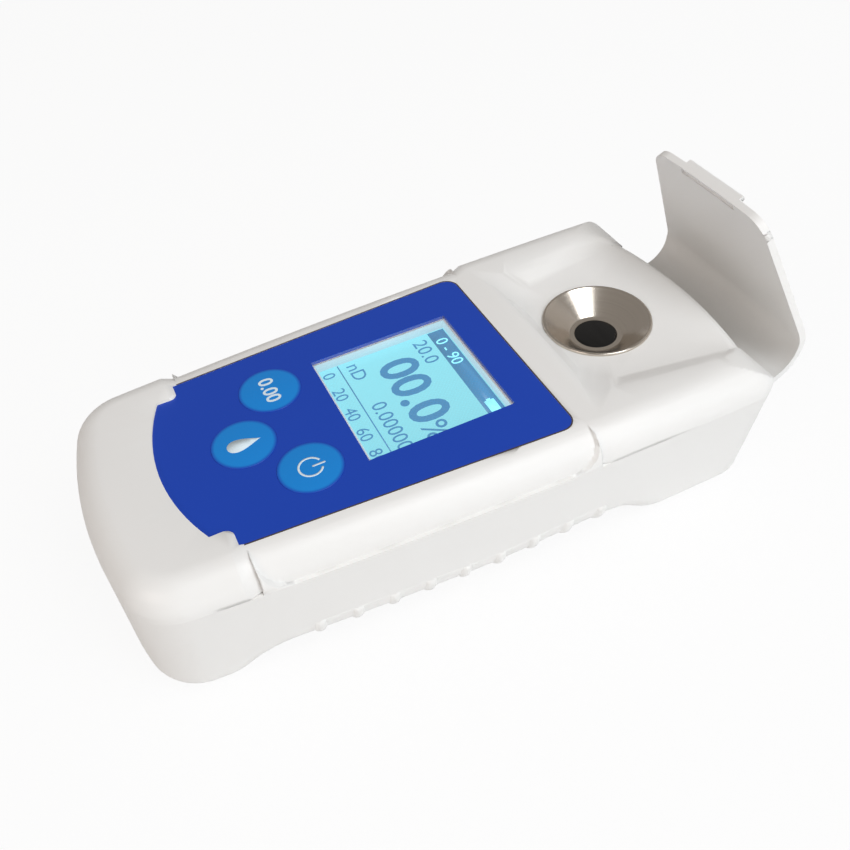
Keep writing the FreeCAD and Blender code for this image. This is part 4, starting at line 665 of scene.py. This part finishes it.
# Two corners of the battery sign's case and of its cap
CELL_CASE = ((11.5, -13.2), (13.6, -9.6))
CELL_CAP = ((12.1, -9.6), (13.0, -9.2))

LCD_ROWS = (
    # text, height of its digits relative to the small ones, place along X and Y in mm
    ("0.00000", 0.95, -7.0, -6.6),
    ("20.0", 0.95, 8.1, 9.6),
    ("nD", 0.9, -7.0, 11.0),
    ("0", 0.8, -12.6, 12.6),
    ("20", 0.8, -12.6, 6.3),
    ("40", 0.8, -12.6, 0.0),
    ("60", 0.8, -12.6, -6.3),
    ("80", 0.8, -12.6, -12.6),
)


def on_glass(x, y, level):
    """A place on the display from its X and Y in mm."""
    return Vector((x * MM, y * MM, level))


def bar(bm, low, high, level, bevel=0.0):
    """Add a flat bar between two corners in mm."""
    half = PRINT_THICK / 2
    return slab(bm, on_glass(*low, level - half), on_glass(*high, level + half), bevel)


def display_marks(settings):
    """Everything that the display shows dark: digits, a header bar, a rule and a short scale."""
    bm = bmesh.new()
    level = GLASS_TOP + PRINT_THICK / 2
    lettering(bm, "00.0", settings.digit_height, on_glass(*BIG_DIGITS, level), 0.022)
    lettering(bm, "%", 0.62 * settings.digit_height, on_glass(*PERCENT, level))
    for text, share, x, y in LCD_ROWS:
        lettering(bm, text, share * settings.small_height, on_glass(x, y, level))
    for start, end in (HEADER, RULE):
        bar(bm, (start, -MARKS_HALF), (end, MARKS_HALF), level)
    return bm


def opening_walls():
    """Thin lining of the display opening between the glass and the clear window."""
    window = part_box("display_window")[1]
    ledge, thick = 0.38 * MM, 0.15 * MM
    outer_x, outer_y = window.x - ledge, window.y - ledge
    inner_x, inner_y = outer_x - thick, outer_y - thick
    low = GLASS_TOP + 0.05 * MM
    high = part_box("display_window")[0].z - 0.02 * MM
    bm = bmesh.new()
    slab(bm, (-outer_x, inner_y, low), (outer_x, outer_y, high))
    slab(bm, (-outer_x, -outer_y, low), (outer_x, -inner_y, high))
    slab(bm, (inner_x, -inner_y, low), (outer_x, inner_y, high))
    slab(bm, (-outer_x, -inner_y, low), (-inner_x, inner_y, high))
    return bm


def header_marks(settings):
    """What the header bar leaves light: the measuring range and a battery sign."""
    bm = bmesh.new()
    level = GLASS_TOP + 1.6 * PRINT_THICK
    lettering(bm, "0 - 90", 0.8 * settings.small_height, on_glass(*RANGE_TEXT, level))
    bar(bm, *CELL_CASE, level, 0.2 * MM)
    bar(bm, *CELL_CAP, level)
    return bm


class REFRACTOMETER_OT_display(bpy.types.Operator):
    """Lit display, what it shows, and the clear window over it"""
    bl_idname = "refractometer.display"
    bl_label = "Display"

    def execute(self, context):
        settings = context.scene.refractometer.display
        dress("lcd_panel", lit_glass(settings))
        dress("display_window", clear_polycarbonate())
        dark = shown_segments("driven_segments", settings.dark[:], DARK_GLOW)
        light = shown_segments("clear_segments", settings.lit[:], LIGHT_GLOW)
        new_piece("display_marks", display_marks(settings), dark, "housing")
        new_piece("display_header", header_marks(settings), light, "housing")
        new_piece("display_walls", opening_walls(), flooded_wall(settings), "housing")
        return {"FINISHED"}


# The dish and the prism

# Radius where the dish's cone meets its floor
FLOOR_EDGE = 5.45 * MM
DISH_STEPS = 160
DISH_CREASE = math.radians(35)
PRISM_CREASE = math.radians(30)


def dish_shape(settings):
    """Steel funnel with a rounded lip, a straight cone, and a floor with a round hole for the prism."""
    lip = (DISH_HIGH.x - DISH_LOW.x) / 2
    top, low, edge = DISH_HIGH.z, DISH_LOW.z, settings.lip_round
    lip_low, shoulder_low = top - 0.8 * MM, top - 2.5 * MM
    hole, neck, shoulder, mouth = 4.55 * MM, 8.3 * MM, 10.6 * MM, 10.95 * MM
    profile = [(hole, low), (neck, low), (neck, shoulder_low), (shoulder, shoulder_low),
               (shoulder, lip_low), (lip, lip_low)]
    profile += quarter_round(lip, top, edge)
    profile += [(mouth + 0.08 * MM, top), (mouth, top - 0.05 * MM)]
    # The cone meets the floor round the prism in a small round
    profile += [(FLOOR_EDGE + 0.3 * MM, PRISM_FACE + 0.12 * MM),
                (FLOOR_EDGE + 0.15 * MM, PRISM_FACE + 0.03 * MM),
                (FLOOR_EDGE, PRISM_FACE), (hole, PRISM_FACE), (hole, low)]
    return turned(profile, DISH_AXIS, DISH_STEPS)


class REFRACTOMETER_OT_dish(bpy.types.Operator):
    """Turned steel dish and the prism in its floor"""
    bl_idname = "refractometer.dish"
    bl_label = "Dish and prism"

    def execute(self, context):
        settings = context.scene.refractometer.dish
        dish = new_piece("dish_funnel", dish_shape(settings), turned_steel(settings), "housing",
                         DISH_CREASE)
        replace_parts(dish, "sample_dish")
        smooth_copy("prism", "prism_body", polished_dark_glass(), "housing", PRISM_CREASE)
        return {"FINISHED"}


class REFRACTOMETER_OT_inside(bpy.types.Operator):
    """Materials of the screws, springs, boards and other inner parts"""
    bl_idname = "refractometer.inside"
    bl_label = "Inner parts"

    def execute(self, context):
        for name, (code, grain, roughness, metallic, nodes) in INSIDE_FINISHES.items():
            material = grained(name, linear(code), grain * MM, INSIDE_DEPTH, roughness, INSIDE_MOTTLE,
                               Metallic=metallic)
            for node in nodes:
                dress(node, material)
        return {"FINISHED"}


# The stage

# Point that the lamps face
AIM = (0.01, 0, 0.02)
LAMPS = {
    # name: (place in metres, diameter in metres, colour)
    "side": ((0.36, -0.85, 0.42), 0.5, (0.86, 0.94, 1.0)),
    "top": ((0.22, -0.45, 0.78), 0.55, (0.94, 0.97, 1.0)),
    "fill": ((-0.75, -0.35, 0.55), 0.5, (1.0, 0.88, 0.80)),
}
SKY = (1.0, 0.95, 0.90, 1)
CAMERA_PLACE = (-46.85 * MM, -123.9 * MM, 160.1 * MM)
# Half the floor's width in metres, how far it lies below the feet, and the share of plain white that the
# camera sees of it
FLOOR_REACH = 3.0
FLOOR_GAP = 0.02 * MM
FLOOR_WHITE = 0.9


def soft_lamp(name, place, size, power, tone):
    """Round area lamp that faces the object."""
    data = bpy.data.lights.new(name, "AREA")
    data.shape = "DISK"
    data.size = size
    data.energy = power
    data.color = tone
    lamp = bpy.data.objects.new(name, data)
    lamp.location = place
    lamp.rotation_mode = "QUATERNION"
    lamp.rotation_quaternion = (Vector(AIM) - Vector(place)).to_track_quat("-Z", "Y")
    bpy.context.scene.collection.objects.link(lamp)


def white_for_camera(tree, shader_socket, share):
    """Mix a shader with plain white where the camera sees it, also through the clear window."""
    rays = add(tree, "ShaderNodeLightPath")
    seen = add(tree, "ShaderNodeMath", {0: rays.outputs["Is Camera Ray"],
                                        1: rays.outputs["Is Transmission Ray"]}, operation="MAXIMUM")
    amount = add(tree, "ShaderNodeMath", {0: seen.outputs[0], 1: share}, operation="MULTIPLY")
    white = add(tree, "ShaderNodeEmission", {"Color": (1, 1, 1, 1), "Strength": 1.0})
    return add(tree, "ShaderNodeMixShader", {0: amount.outputs[0], 1: shader_socket, 2: white.outputs[0]})


def floor_material():
    """Seamless white paper that keeps a faint shadow."""
    material, tree, shader = finish("white_paper", Roughness=0.9)
    shader.inputs["Base Color"].default_value = linear("#f4f4f4")
    mixed = white_for_camera(tree, shader.outputs[0], FLOOR_WHITE)
    tree.links.new(mixed.outputs[0], tree.nodes["Material Output"].inputs["Surface"])
    return material


class REFRACTOMETER_OT_stage(bpy.types.Operator):
    """Floor, lights, world and camera"""
    bl_idname = "refractometer.stage"
    bl_label = "Stage"

    def execute(self, context):
        settings = context.scene.refractometer.stage
        bm = bmesh.new()
        bmesh.ops.create_grid(bm, x_segments=1, y_segments=1, size=FLOOR_REACH)
        bmesh.ops.translate(bm, vec=(0, 0, CAD_BOX[0].z - FLOOR_GAP), verts=bm.verts)
        mesh = bpy.data.meshes.new("floor")
        bm.to_mesh(mesh)
        bm.free()
        mesh.materials.append(floor_material())
        floor = bpy.data.objects.new("floor", mesh)
        context.scene.collection.objects.link(floor)

        world = bpy.data.worlds.new("studio")
        world.use_nodes = True
        tree = world.node_tree
        sky = tree.nodes["Background"]
        sky.inputs["Color"].default_value = SKY
        sky.inputs["Strength"].default_value = settings.sky
        mixed = white_for_camera(tree, sky.outputs[0], 1.0)
        tree.links.new(mixed.outputs[0], tree.nodes["World Output"].inputs["Surface"])
        context.scene.world = world

        for name, (place, size, tone) in LAMPS.items():
            soft_lamp(name + "_light", place, size, getattr(settings, name), tone)

        camera = bpy.data.cameras.new("camera")
        camera.lens = settings.lens
        camera.sensor_width = 36
        camera.clip_start = 0.01
        holder = bpy.data.objects.new("camera", camera)
        holder.rotation_mode = "QUATERNION"
        pitch = math.pi / 2 - settings.drop
        turn = (Matrix.Rotation(settings.heading, 3, "Z") @ Matrix.Rotation(pitch, 3, "X")
                @ Matrix.Rotation(settings.roll, 3, "Z"))
        holder.rotation_quaternion = turn.to_quaternion()
        holder.location = CAMERA_PLACE
        context.scene.collection.objects.link(holder)
        context.scene.camera = holder
        context.scene.view_settings.view_transform = "Standard"
        return {"FINISHED"}


OPERATORS = (
    REFRACTOMETER_OT_case,
    REFRACTOMETER_OT_keypad,
    REFRACTOMETER_OT_display,
    REFRACTOMETER_OT_dish,
    REFRACTOMETER_OT_inside,
    REFRACTOMETER_OT_stage,
)


class REFRACTOMETER_PT_panel(bpy.types.Panel):
    """Buttons and settings of the refractometer"""
    bl_label = "Refractometer"
    bl_idname = "REFRACTOMETER_PT_panel"
    bl_space_type = "VIEW_3D"
    bl_region_type = "UI"
    bl_category = "Refractometer"

    def draw(self, context):
        settings = context.scene.refractometer
        for operator in OPERATORS:
            self.layout.operator(operator.bl_idname)
        for name, kind in SETTINGS.items():
            column = self.layout.box().column()
            column.label(text=name.capitalize())
            for prop in kind.__annotations__:
                column.prop(getattr(settings, name), prop)


CLASSES = tuple(SETTINGS.values()) + (RefractometerSettings,) + OPERATORS + (REFRACTOMETER_PT_panel,)


def register():
    for kind in CLASSES:
        bpy.utils.register_class(kind)
    bpy.types.Scene.refractometer = PointerProperty(type=RefractometerSettings)


def unregister():
    del bpy.types.Scene.refractometer
    for kind in reversed(CLASSES):
        bpy.utils.unregister_class(kind)


def main():
    """Build every piece in order."""
    register()
    for operator in OPERATORS:
        group, name = operator.bl_idname.split(".")
        getattr(getattr(bpy.ops, group), name)()


if __name__ == "__main__":
    main()
